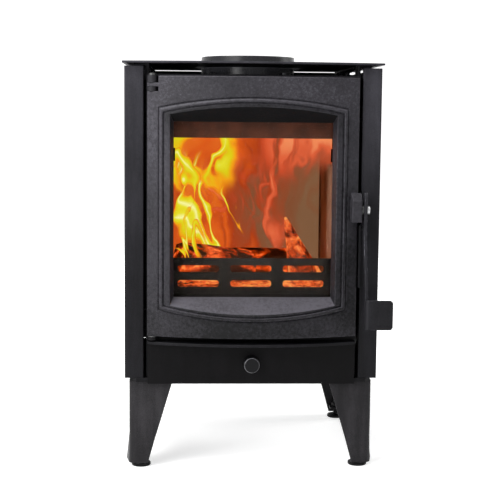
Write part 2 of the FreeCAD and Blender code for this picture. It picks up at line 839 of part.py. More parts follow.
def door_casting():
    foot_z = door_bottom - door_wall
    tall = door_top - door_bottom + 2 * door_wall
    slab = bowed_slab(door_half_width, door_bow, door_edge_y, door_back_y, door_bottom, door_top)
    proud = rod(door_radius + moulding_height, tall, (0, door_axis_y, foot_z), (0, 0, 1))
    under = rod(door_radius - moulding_groove_depth, tall, (0, door_axis_y, foot_z), (0, 0, 1))
    hollow = rod(door_radius - door_wall, tall, (0, door_axis_y, foot_z), (0, 0, 1))
    near = door_front_y - 20
    outer = moulding_prism(0.0, near)
    shoulder = moulding_prism(moulding_shoulder, near)
    within = moulding_prism(moulding_bead, near)
    band = moulding_prism(moulding_bead + moulding_channel, near)
    low_step = rod(door_radius + moulding_height - moulding_shoulder, tall, (0, door_axis_y, foot_z), (0, 0, 1))
    channel_floor = rod(door_radius + moulding_channel_height, tall, (0, door_axis_y, foot_z), (0, 0, 1))
    band_face = rod(door_radius + moulding_band_height, tall, (0, door_axis_y, foot_z), (0, 0, 1))
    groove = moulding_prism(-moulding_groove, near)
    groove = groove.cut(outer).cut(under)
    casting = slab.cut(groove)
    casting = casting.fuse([outer.common(low_step), shoulder.common(proud)]).removeSplitter()
    casting = casting.cut(within.cut(band).cut(channel_floor))
    casting = casting.cut(band.cut(band_face))
    casting = casting.cut(reveal_cutter())
    casting = casting.cut(glass_rebate())
    back = door_back_y + 1
    rim = box(-frame_opening_half_width, frame_opening_half_width, door_front_y, back,
              firebox_floor_top + 3, frame_opening_top - 2)
    ledge = box(-frame_opening_half_width, frame_opening_half_width, near, back + 1,
                aperture_bottom - reveal_back, aperture_top + reveal_back)
    casting = casting.cut(rim.cut(ledge).common(hollow))
    clip_seat = ledge_y + gasket_sheet + glass_sheet
    seat_half = clip_screw_x() + clip_end + 0.6
    casting = casting.cut(box(-seat_half, seat_half, clip_seat, back, firebox_floor_top + 3, frame_opening_top - 2))
    for sx, z in clip_points():
        casting = casting.cut(rod(1.6, 6, (sx * clip_screw_x(), clip_seat - 5, z), (0, 1, 0)))
    pocket = box(hinge_x + 22, door_half_width - 10, door_front_y, back, rope_top + 9, door_top - 9)
    casting = casting.cut(pocket.common(hollow))
    casting = casting.cut(rope_groove())
    casting = casting.fuse([latch_boss()]).removeSplitter()
    casting = casting.cut(hinge_cutters())
    casting = casting.cut(rod(pivot_bolt_radius, boss_outer_x - boss_inner_x, (boss_inner_x + 3, pivot_y, pivot_z),
                              (1, 0, 0)))
    return casting


def reveal_cutter():
    """Four sloped faces from the moulding in to the glass opening."""
    depth = ledge_y - (door_front_y - 8)
    side = depth * reveal_side_slope
    up = depth * reveal_slope
    wires = []
    for y, dx, dz in ((ledge_y, 0, 0), (door_front_y - 8, side, up)):
        x = aperture_half_width + dx
        low = aperture_bottom - dz
        high = aperture_top + dz
        corners = [Vector(-x, y, low), Vector(x, y, low), Vector(x, y, high), Vector(-x, y, high)]
        wires.append(Part.makePolygon(corners + corners[:1]))
    funnel = Part.makeLoft(wires, True, True)
    through = box(-aperture_half_width, aperture_half_width, ledge_y - 0.5, door_back_y + 1,
                  aperture_bottom, aperture_top)
    return funnel.fuse(through)


def glass_rebate():
    lap = glass_lap + 1.0
    return box(-aperture_half_width - lap, aperture_half_width + lap, ledge_y, door_back_y + 1,
               aperture_bottom - lap, aperture_top + lap)


def rope_path(inset):
    """Round-cornered loop of the seal, in the plane of the door's back."""
    x = rope_half_width - inset
    low = rope_bottom + inset
    high = rope_top - inset
    r = rope_corner - inset
    y = frame_front - seat_gap - rope_radius
    k = r * (1 - math.sqrt(0.5))

    def at(px, pz):
        return Vector(px, y, pz)

    edges = [
        Part.makeLine(at(-x + r, low), at(x - r, low)),
        Part.Arc(at(x - r, low), at(x - k, low + k), at(x, low + r)).toShape(),
        Part.makeLine(at(x, low + r), at(x, high - r)),
        Part.Arc(at(x, high - r), at(x - k, high - k), at(x - r, high)).toShape(),
        Part.makeLine(at(x - r, high), at(-x + r, high)),
        Part.Arc(at(-x + r, high), at(-x + k, high - k), at(-x, high - r)).toShape(),
        Part.makeLine(at(-x, high - r), at(-x, low + r)),
        Part.Arc(at(-x, low + r), at(-x + k, low + k), at(-x + r, low)).toShape(),
    ]
    return Part.Wire(edges)


def rope_seal():
    path = rope_path(0.0)
    start = Vector(-rope_half_width + rope_corner, frame_front - seat_gap - rope_radius, rope_bottom)
    profile = Part.Wire([Part.makeCircle(rope_radius, start, Vector(1, 0, 0))])
    return path.makePipeShell([profile], True, True)


def rope_groove():
    half = rope_radius + seat_gap
    front = frame_front - seat_gap - 2 * rope_radius - seat_gap
    outer = rounded_plate(-rope_half_width - half, rope_half_width + half, rope_bottom - half, rope_top + half,
                          front, door_back_y + 1, rope_corner + half)
    inner = rounded_plate(-rope_half_width + half, rope_half_width - half, rope_bottom + half, rope_top - half,
                          front - 1, door_back_y + 2, rope_corner - half)
    return outer.cut(inner)


def hinge_cutters():
    edge = -door_half_width - 5
    wall = hinge_x + hinge_notch
    back = door_back_y + 1
    upper = box(edge, wall, door_front_y, back, upper_lug_bottom - swing_gap, door_top + 1)
    second = box(edge, wall, door_front_y, back, second_lug_bottom - swing_gap, second_lug_top + swing_gap)
    lower_hole = rod(hinge_pin_radius + running_gap, 26, (hinge_x, hinge_y, door_bottom - 2), (0, 0, 1))
    through = rod(hinge_pin_radius + running_gap, 40, (hinge_x, hinge_y, second_lug_bottom - 6), (0, 0, 1))
    return upper.fuse([second, lower_hole, through])


def latch_boss():
    low = pivot_z - boss_half_height - 2
    high = pivot_z + boss_half_height - 2
    profile = [
        Vector(boss_inner_x, door_back_y - 3, low),
        Vector(boss_inner_x, -boss_front, low),
        Vector(boss_inner_x, -boss_front, high),
        Vector(boss_inner_x, -boss_front + 14, high + 11),
        Vector(boss_inner_x, door_back_y - 3, high + 11),
    ]
    block = Part.Face(Part.makePolygon(profile + profile[:1])).extrude(Vector(boss_outer_x - boss_inner_x, 0, 0))
    clear = box(door_half_width, boss_outer_x + 1, door_edge_y - 3, 0, low - 1, high + 20)
    return block.cut(clear)


def door_glass():
    return box(-aperture_half_width - glass_lap, aperture_half_width + glass_lap, ledge_y + gasket_sheet,
               ledge_y + gasket_sheet + glass_sheet, aperture_bottom - glass_lap, aperture_top + glass_lap)


def glass_gasket():
    outer = box(-aperture_half_width - glass_lap, aperture_half_width + glass_lap, ledge_y, ledge_y + gasket_sheet,
                aperture_bottom - glass_lap, aperture_top + glass_lap)
    inner = box(-aperture_half_width - 1, aperture_half_width + 1, ledge_y - 1, ledge_y + gasket_sheet + 1,
                aperture_bottom - 1, aperture_top + 1)
    return outer.cut(inner)


def clip_points():
    points = []
    for sx in (-1, 1):
        for z in (aperture_bottom + 50, aperture_top - 50):
            points.append((sx, z))
    return points


def clip_screw_x():
    return aperture_half_width + glass_lap + clip_screw_gap


def glass_clips():
    clips = []
    y = ledge_y + gasket_sheet + glass_sheet
    for sx, z in clip_points():
        tongue = box(aperture_half_width - 2, clip_screw_x() + clip_end, y, y + 1.2, z - 10, z + 10)
        tongue = tongue.cut(rod(1.6, 10, (clip_screw_x(), y - 5, z), (0, 1, 0)))
        clips.append(tongue if sx > 0 else mirror_x(tongue))
    return Part.makeCompound(clips)


def glass_clip_screws():
    screws = []
    y = ledge_y + gasket_sheet + glass_sheet + 1.2
    for sx, z in clip_points():
        shank = rod(1.5, 5, (sx * clip_screw_x(), y - 5, z), (0, 1, 0))
        head = rod(3.0, 1.8, (sx * clip_screw_x(), y, z), (0, 1, 0))
        screws.append(joined([shank, head]))
    return Part.makeCompound(screws)


def pivot_bolt():
    head_x = lever_outer_x + running_gap
    start_x = boss_inner_x + 4
    shank = rod(pivot_bolt_radius, head_x - start_x, (start_x, pivot_y, pivot_z), (1, 0, 0))
    head = rod(pivot_head_radius, pivot_head_height, (head_x, pivot_y, pivot_z), (1, 0, 0))
    outer = [e for e in head.Edges if abs(e.BoundBox.XMin - head_x - pivot_head_height) < 0.01]
    head = head.makeFillet(2.4, outer)
    return joined([shank, head])


def lever_washer():
    ring = rod(8.0, lever_spacer, (boss_outer_x, pivot_y, pivot_z), (1, 0, 0))
    return ring.cut(rod(pivot_bolt_radius + running_gap, 10, (boss_outer_x - 3, pivot_y, pivot_z), (1, 0, 0)))


def handle_lever():
    """Flat lever beside the door with its foot bent out into a square grip pad."""
    x = lever_inner_x
    eye = rod(lever_eye_radius, lever_sheet, (x, pivot_y, pivot_z), (1, 0, 0))
    nose = rod(7.0, lever_sheet, (x, pivot_y - 8, pivot_z + 20), (1, 0, 0))
    neck = [(-15, 20), (-13, 0), (13, 0), (-1, 20)]
    tooth = [(4, 0), (12.9, 0), (14.8, -12), (13.5, -22), (10, -25.5), (-6, -14)]
    drop = pad_bottom - pivot_z
    pad_rear = pad_front_y + lever_bend_radius - pivot_y
    foot_top = drop + pad_height
    bar = [(-13, 0), (8, -14), (6, -40), (pad_rear + 20, foot_top + 14), (pad_rear + 14, foot_top - 4),
           (pad_rear + 14, drop + 8), (pad_rear + 8, drop), (pad_rear, drop), (pad_rear, foot_top),
           (pad_rear + 1, foot_top + 14), (-12, -46)]
    plates = [eye, nose]
    for outline in (neck, tooth, bar):
        points = [Vector(x, pivot_y + a, pivot_z + b) for a, b in outline]
        plates.append(Part.Face(Part.makePolygon(points + points[:1])).extrude(Vector(lever_sheet, 0, 0)))
    bend_centre = Vector(x + lever_bend_radius, pad_front_y + lever_bend_radius, pad_bottom)
    bend = Part.makeCylinder(lever_bend_radius, pad_height, bend_centre, Vector(0, 0, 1))
    bend = bend.cut(Part.makeCylinder(lever_bend_radius - lever_sheet, pad_height, bend_centre, Vector(0, 0, 1)))
    corner = box(x, x + lever_bend_radius, pad_front_y, pad_front_y + lever_bend_radius, pad_bottom,
                 pad_bottom + pad_height)
    bend = bend.common(corner)
    pad = box(x + lever_bend_radius, x + pad_width, pad_front_y, pad_front_y + lever_sheet, pad_bottom,
              pad_bottom + pad_height)
    tips = []
    for edge in pad.Edges:
        ends = [v.Point for v in edge.Vertexes]
        if abs(ends[0].y - ends[1].y) > 0.01 and ends[0].x > x + pad_width - 0.01:
            tips.append(edge)
    pad = pad.makeFillet(pad_corner, tips)
    lever = joined(plates + [bend, pad])
    return lever.cut(rod(pivot_bolt_radius + running_gap, 30, (x - 10, pivot_y, pivot_z), (1, 0, 0)))


def latch_strike():
    """Strip on the firebox wall with a peg beside the lever's tooth."""
    x0 = firebox_half_width
    peg_y = front_y - peg_forward
    peg_z = pivot_z - peg_drop
    strip = box(x0, x0 + strike_sheet, peg_y - strike_margin + 1, frame_back + strike_lap,
                peg_z + strike_margin - strike_length, peg_z + strike_margin)
    peg = rod(strike_peg_radius, lever_outer_x - x0 - 1, (x0, peg_y, peg_z), (1, 0, 0))
    return joined([strip, peg])


os.makedirs("parts", exist_ok=True)

right_wall = firebox_wall()
right_panel = side_panel()
right_spacers = side_spacers()
right_brick = side_brick()
right_bearer = bearer()
front_leg = leg()

save(base_plate(), "base_plate")
save(right_wall, "firebox_right_wall")
save(mirror_x(right_wall), "firebox_left_wall")
save(firebox_back_wall(), "firebox_back_wall")
save(firebox_roof(), "firebox_roof")
save(firebox_floor(), "firebox_floor")
save(front_frame(), "front_frame")
save(Part.makeCompound([hinge_lug(upper_lug_bottom, upper_lug_top), hinge_lug(second_lug_bottom, second_lug_top)]),
     "upper_hinge_lugs")
save(upper_hinge_pin(), "upper_hinge_pin")
save(lower_lug(), "lower_hinge_lug")
save(lower_hinge_pin(), "lower_hinge_pin")
save(lower_hinge_washer(), "lower_hinge_washer")
save(hearth_lip(), "hearth_lip")
save(lower_front_panel(), "lower_front_panel")
save(right_panel, "right_side_panel")
save(mirror_x(right_panel), "left_side_panel")
save(right_spacers, "right_panel_spacers")
save(mirror_x(right_spacers), "left_panel_spacers")
save(rear_panel(), "rear_panel")
save(rear_screws(), "rear_panel_screws")
save(top_plate(), "top_plate")
save(top_plate_brackets(), "top_plate_brackets")
save(top_plate_screws(), "top_plate_screws")
save(flue_collar(), "flue_collar")
save(collar_bolts(), "flue_collar_bolts")
save(front_leg, "leg_front_right")
save(mirror_x(front_leg), "leg_front_left")
save(mirror_y(front_leg), "leg_rear_right")
save(mirror_y(mirror_x(front_leg)), "leg_rear_left")
save(leg_bolts(), "leg_bolts")
save(foot_lock_nuts(), "foot_lock_nuts")
save(foot(1, -1), "foot_front_right")
save(foot(-1, -1), "foot_front_left")
save(foot(1, 1), "foot_rear_right")
save(foot(-1, 1), "foot_rear_left")
save(right_brick, "right_fire_brick")
save(mirror_x(right_brick), "left_fire_brick")
save(back_brick(), "back_fire_brick")
save(baffle_plate(), "baffle_plate")
save(right_bearer, "right_grate_bearer")
save(mirror_x(right_bearer), "left_grate_bearer")
save(grate(), "grate")
save(log_guard(), "log_guard")
save(ash_pan(), "ash_pan")
save(air_wash_deflector(), "air_wash_deflector")
save(damper_guides(), "damper_guides")
save(air_damper(), "air_damper")
save(air_rod(), "air_rod")
save(air_knob(), "air_knob")
save(door_casting(), "door_casting")
save(door_glass(), "door_glass")
save(glass_gasket(), "glass_gasket")
save(glass_clips(), "glass_clips")
save(glass_clip_screws(), "glass_clip_screws")
save(rope_seal(), "door_rope_seal")
save(pivot_bolt(), "latch_pivot_bolt")
save(lever_washer(), "latch_spacer_washer")
save(handle_lever(), "handle_lever")
save(latch_strike(), "latch_strike")
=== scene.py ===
"""Looks of a free-standing wood stove.

Finishes for the nodes of the CAD frame, a fire in the hearth and a pale studio. Lengths are
metres, and pattern frequencies are waves per metre. Places are measured from the middle of
the stove and up from the floor.
"""

import logging
import math
from dataclasses import dataclass, field
from enum import Enum
from typing import Dict, List, Optional, Protocol, Sequence, Tuple, Union

import bpy
from mathutils import Matrix, Vector


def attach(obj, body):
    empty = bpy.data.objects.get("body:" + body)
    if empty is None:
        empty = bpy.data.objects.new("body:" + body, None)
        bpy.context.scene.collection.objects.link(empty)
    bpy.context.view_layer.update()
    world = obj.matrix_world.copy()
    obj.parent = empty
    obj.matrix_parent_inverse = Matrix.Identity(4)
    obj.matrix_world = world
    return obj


LOG = logging.getLogger("stove")
Number = Union[int, float]
Term = Union["Signal", int, float]
Span = Tuple[float, float]
Point = Tuple[float, float, float]
Colour = Tuple[float, float, float]
Stops = Sequence[Tuple[float, Colour]]
Slot = Union[str, int]

BLACK: Colour = (0.0, 0.0, 0.0)
WHITE: Colour = (1.0, 1.0, 1.0)
FASTENER: Colour = (0.03, 0.03, 0.032)
INNER_SHEET: Colour = (0.010, 0.0096, 0.0112)

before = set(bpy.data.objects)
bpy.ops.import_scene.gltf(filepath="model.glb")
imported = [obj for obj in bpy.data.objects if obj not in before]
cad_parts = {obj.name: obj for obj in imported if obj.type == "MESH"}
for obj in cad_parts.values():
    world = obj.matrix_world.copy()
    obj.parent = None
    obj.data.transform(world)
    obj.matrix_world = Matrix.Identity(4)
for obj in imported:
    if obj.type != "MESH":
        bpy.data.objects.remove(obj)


class Body(str, Enum):
    """Rigid body of the stove that the fire rides on."""

    STOVE = "stove_body"


class Axis(str, Enum):
    """Axes of a piece, with X to the right, Y to the back and Z up."""

    X = "X"
    Y = "Y"
    Z = "Z"


class Ray(str, Enum):
    """Rays that see the pale studio itself."""

    CAMERA = "Is Camera Ray"
    GLOSSY = "Is Glossy Ray"
    TRANSMISSION = "Is Transmission Ray"


class Signal:
    """A shader value that can be added, scaled and mixed like a number."""

    def __init__(self, owner: "Nodes", socket: bpy.types.NodeSocket) -> None:
        """Wrap a socket.

        Args:
            owner: Node tree helper that owns the socket.
            socket: Output socket to wrap.
        """
        self.owner = owner
        self.socket = socket

    def _op(self, operation: str, *terms: Term) -> "Signal":
        """Join values through a math node.

        Args:
            operation: Math node operation.
            terms: Operands in order.

        Returns:
            The result.
        """
        return self.owner.node("Math", {"operation": operation}, dict(enumerate(terms)))

    def __add__(self, other: Term) -> "Signal":
        """Return the sum."""
        return self._op("ADD", self, other)

    def __radd__(self, other: Number) -> "Signal":
        """Return the sum with a number on the left."""
        return self._op("ADD", other, self)

    def __sub__(self, other: Term) -> "Signal":
        """Return the difference."""
        return self._op("SUBTRACT", self, other)

    def __rsub__(self, other: Number) -> "Signal":
        """Return the difference from a number on the left."""
        return self._op("SUBTRACT", other, self)

    def __mul__(self, other: Term) -> "Signal":
        """Return the product."""
        return self._op("MULTIPLY", self, other)

    def __rmul__(self, other: Number) -> "Signal":
        """Return the product with a number on the left."""
        return self._op("MULTIPLY", other, self)

    def __truediv__(self, other: Term) -> "Signal":
        """Return the quotient."""
        return self._op("DIVIDE", self, other)

    def __rtruediv__(self, other: Number) -> "Signal":
        """Return the quotient with a number on top."""
        return self._op("DIVIDE", other, self)

    def distance(self, centre: Number) -> "Signal":
        """Return how far this value lies from a centre."""
        return self._op("ABSOLUTE", self - centre)

    def root(self) -> "Signal":
        """Return the square root."""
        return self._op("SQRT", self)

    def at_most(self, other: Term) -> "Signal":
        """Return the smaller of two values."""
        return self._op("MINIMUM", self, other)

    def at_least(self, other: Term) -> "Signal":
        """Return the larger of two values."""
        return self._op("MAXIMUM", self, other)

    def step(self, low: Number, high: Number, to_low: Number = 0.0,
             to_high: Number = 1.0) -> "Signal":
        """Map a span smoothly to another span.

        Args:
            low: Start of the source span.
            high: End of the source span.
            to_low: Result at the start.
            to_high: Result at the end.

        Returns:
            The mapped value.
        """
        spans = {"Value": self, "From Min": low, "From Max": high, "To Min": to_low,
                 "To Max": to_high}
        return self.owner.node("MapRange", {"interpolation_type": "SMOOTHSTEP"}, spans, "Result")

    def ramp(self, stops: Stops) -> "Signal":
        """Turn the value into a colour.

        Args:
            stops: Positions and colours.

        Returns:
            The colour.
        """
        return self.owner.node("ValToRGB", {"stops": stops}, {"Fac": self}, "Color")


class Nodes:
    """A node tree with its main shader and one way to add nodes."""

    def __init__(self, tree: bpy.types.NodeTree, main: str) -> None:
        """Wrap a node tree.

        Args:
            tree: The tree.
            main: Name of its main shader node.
        """
        self.tree = tree
        self.main = tree.nodes[main]

    def node(self, kind: str, settings: Dict[str, object], sockets: Dict[Slot, object],
             out: Slot = 0) -> Signal:
        """Add a node, set it up and connect it.

        Args:
            kind: Node type, without its common start.
            settings: Properties of the node, or a ramp's stops.
            sockets: Numbers, vectors or signals for the inputs.
            out: Output to return.

        Returns:
            The chosen output.
        """
        made = self.tree.nodes.new("ShaderNode" + kind)
        for key, value in settings.items():
            if key == "stops":
                self._set_stops(made.color_ramp, value)
            else:
                setattr(made, key, value)
        for key, value in sockets.items():
            self._fill(made.inputs[key], value)
        return Signal(self, made.outputs[out])

    def _set_stops(self, band: bpy.types.ColorRamp, stops: Stops) -> None:
        """Place the colours of a ramp.

        Args:
            band: The ramp.
            stops: Positions and colours.
        """
        while len(band.elements) < len(stops):
            band.elements.new(0.5)
        for element, (place, colour) in zip(band.elements, stops):
            element.position = place
            element.color = (*colour, 1.0)

    def _fill(self, socket: bpy.types.NodeSocket, value: object) -> None:
        """Link a signal to an input, or set the input to a value.

        Args:
            socket: The input.
            value: Signal, number or vector.
        """
        if isinstance(value, Signal):
            self.tree.links.new(value.socket, socket)
        else:
            socket.default_value = value

    def feed(self, slot: str, value: object) -> None:
        """Connect or set an input of the main shader.

        Args:
            slot: Input name.
            value: Signal, number or colour.
        """
        self._fill(self.main.inputs[slot], value)

    def seen(self) -> Signal:
        """Return one for rays that look at the studio and zero for rays that light the stove."""
        camera, glossy, through = (self.node("LightPath", {}, {}, ray.value) for ray in Ray)
        return (camera + glossy + through).at_most(1.0)


class Shader(Nodes):
    """A new material with helpers for patterns.

    The edge mask runs between two cosines of the turn from the flat to the rounded normal.
    """

    BEVEL_SAMPLES = 6
    FLAT_COSINE = 0.98
    EDGE_COSINE = 0.72

    def __init__(self, name: str) -> None:
        """Make an empty material.

        Args:
            name: Material name.
        """
        self.material = bpy.data.materials.new(name)
        self.material.use_nodes = True
        super().__init__(self.material.node_tree, "Principled BSDF")
        self._here = self.node("TexCoord", {}, {}, "Object")

    def place(self, scale: Point = (1, 1, 1), shift: Point = (0, 0, 0)) -> Signal:
        """Return object coordinates, scaled and moved.

        Args:
            scale: Scale along each axis.
            shift: Offset along each axis.

        Returns:
            The coordinates.
        """
        return self.node("Mapping", {}, {"Vector": self._here, "Scale": scale, "Location": shift})

    def along(self, axis: Axis) -> Signal:
        """Return one object coordinate in metres."""
        return self.node("SeparateXYZ", {}, {0: self._here}, axis.value)

    def join(self, x: object, y: object, z: object) -> Signal:
        """Return coordinates made from three values."""
        return self.node("CombineXYZ", {}, {0: x, 1: y, 2: z})

    def noise(self, scale: float, at: Signal, detail: float = 4.0, rough: float = 0.55,
              warp: float = 0.0) -> Signal:
        """Return a noise pattern.

        Args:
            scale: Pattern frequency.
            at: Coordinates.
            detail: Octaves.
            rough: Strength of the fine octaves.
            warp: Distortion.

        Returns:
            The pattern.
        """
        inputs = {"Vector": at, "Scale": scale, "Detail": detail, "Roughness": rough,
                  "Distortion": warp}
        return self.node("TexNoise", {}, inputs)

    def cells(self, scale: float, at: Signal) -> Signal:
        """Return the distance to scattered points."""
        return self.node("TexVoronoi", {}, {"Vector": at, "Scale": scale}, "Distance")

    def soft_normal(self, radius: float) -> Signal:
        """Return normals rounded over the edges, by a radius in metres."""
        return self.node("Bevel", {"samples": self.BEVEL_SAMPLES}, {"Radius": radius})

    def edge(self, radius: float) -> Signal:
        """Return a mask that is one on edges and zero on flats.

        Args:
            radius: Reach of the mask in metres.

        Returns:
            The mask.
        """
        flat = self.node("NewGeometry", {}, {}, "Normal")
        turn = self.node("VectorMath", {"operation": "DOT_PRODUCT"},
                         {0: self.soft_normal(radius), 1: flat}, "Value")
        return turn.step(self.FLAT_COSINE, self.EDGE_COSINE)

    def facing(self, axis: Axis) -> Signal:
        """Return one part of the surface direction, from -1 to 1."""
        normal = self.node("NewGeometry", {}, {}, "Normal")
        return self.node("SeparateXYZ", {}, {0: normal}, axis.value)

    def blend(self, amount: Signal, low: Colour, high: Colour) -> Signal:
        """Return a mix of two colours by a share of the second."""
        return amount.ramp(((0.0, low), (1.0, high)))

    def bump(self, height: Signal, distance: float, strength: float,
             edge_radius: float = 0.0) -> None:
        """Feed the normal with a relief, on rounded edges if asked.

        Args:
            height: Relief pattern.
            distance: Relief depth in metres.
            strength: Relief strength.
            edge_radius: Rounding of the edges in metres.
        """
        inputs = {"Height": height, "Distance": distance, "Strength": strength}
        if edge_radius > 0:
            inputs["Normal"] = self.soft_normal(edge_radius)
        self.feed("Normal", self.node("Bump", {}, inputs))


def lift(colour: Colour, factor: float) -> Colour:
    """Scale a colour.

    Args:
        colour: Colour to scale.
        factor: Scale.

    Returns:
        The scaled colour.
    """
    return tuple(min(1.0, part * factor) for part in colour)


@dataclass(frozen=True)
class Enamel:
    """Satin stove enamel on sheet steel, with painted light paler at the top, painted shade low down
    and scuffed, lighter edges.
    """

    name: str
    base: Colour
    rough: float = 0.46
    cloud: float = 9.0
    grain: float = 900.0
    brush: float = 60.0
    brush_stretch: Point = (1.0, 1.0, 0.12)
    patch: float = 120.0
    relief: float = 0.00005
    # this lightens the edges: scuffing, and where edge_tone is high, as on the lever, a painted
    # highlight
    wear_and_highlight: float = 0.5
    edge_radius: float = 0.0012
    edge_reach: float = 1.4
    edge_tone: float = 3.2
    pale_tone: float = 1.9
    dark_tone: float = 0.35
    gloss: float = 1.19
    # the next three fields paint the enamel darker low down and paler near the top: painted shade
    # and painted light
    fade: float = 0.36
    painted_dark_z: float = 0.16
    painted_lit_z: float = 0.62

    def make(self) -> bpy.types.Material:
        """Build the finish.

        Returns:
            The material.
        """
        shader = Shader(self.name)
        at = shader.place()
        cloud = shader.noise(self.cloud, at, detail=5.0, rough=0.6)
        fine = shader.noise(self.grain, at, detail=3.0, rough=0.6)
        brushed = shader.noise(self.brush, shader.place(self.brush_stretch), detail=4.0, rough=0.6)
        patches = shader.noise(self.patch, at, detail=3.0).step(0.35, 0.65)
        edge = shader.edge(self.edge_radius * self.edge_reach) * patches
        tone = (cloud * 0.36 + fine * 0.36 + brushed * 0.28).step(0.25, 0.75)
        # painted light and shade: darker toward the bottom, paler toward the top
        painted_height_light = shader.along(Axis.Z).step(self.painted_dark_z, self.painted_lit_z, -self.fade, self.fade)
        shade = (tone * (1.0 - 0.4 * self.wear_and_highlight) + painted_height_light + edge * self.wear_and_highlight).at_most(1.0)
        stops = ((0.0, lift(self.base, self.dark_tone)), (0.40, self.base),
                 (0.70, lift(self.base, self.pale_tone)), (1.0, lift(self.base, self.edge_tone)))
        shader.feed("Base Color", shade.ramp(stops))
        smear = cloud.step(0.3, 0.7, -0.05, 0.05) + fine.step(0.2, 0.8, -0.04, 0.04)
        shader.feed("Roughness", smear + self.rough - edge * 0.12)
        shader.feed("IOR", self.gloss)
        shader.bump(fine + brushed * 0.3, self.relief, strength=0.8, edge_radius=self.edge_radius)
        return shader.material


@dataclass(frozen=True)
class KnobEnamel:
    """Dark enamel on a turned knob, with a painted highlight round its front rim.

    The rim lies between the surface directions of the front face and of the side.
    """

    name: str
    base: Colour
    rim_highlight: Colour
    dark_tone: float = 0.6
    rough: float = 0.36
    gloss: float = 1.22
    grain: float = 900.0
    patch: float = 160.0
    relief: float = 0.00004
    rim_front: Span = (-0.985, -0.86)
    rim_back: Span = (-0.15, -0.5)

    def make(self) -> bpy.types.Material:
        """Build the finish.

        Returns:
            The material.
        """
        shader = Shader(self.name)
        at = shader.place()
        fine = shader.noise(self.grain, at, detail=3.0, rough=0.6)
        patches = shader.noise(self.patch, at, detail=3.0).step(0.25, 0.55, 0.35, 1.0)
        front = shader.facing(Axis.Y)
        # painted highlight on the front rim, broken into patches
        rim = front.step(*self.rim_front) * front.step(*self.rim_back) * patches
        shade = (fine * 0.3 + rim * 0.85).at_most(1.0)
        stops = ((0.0, lift(self.base, self.dark_tone)), (0.3, self.base), (1.0, self.rim_highlight))
        shader.feed("Base Color", shade.ramp(stops))
        shader.feed("Roughness", fine.step(0.2, 0.8, -0.04, 0.04) + self.rough)
        shader.feed("IOR", self.gloss)
        shader.bump(fine, self.relief, strength=0.7)
        return shader.material


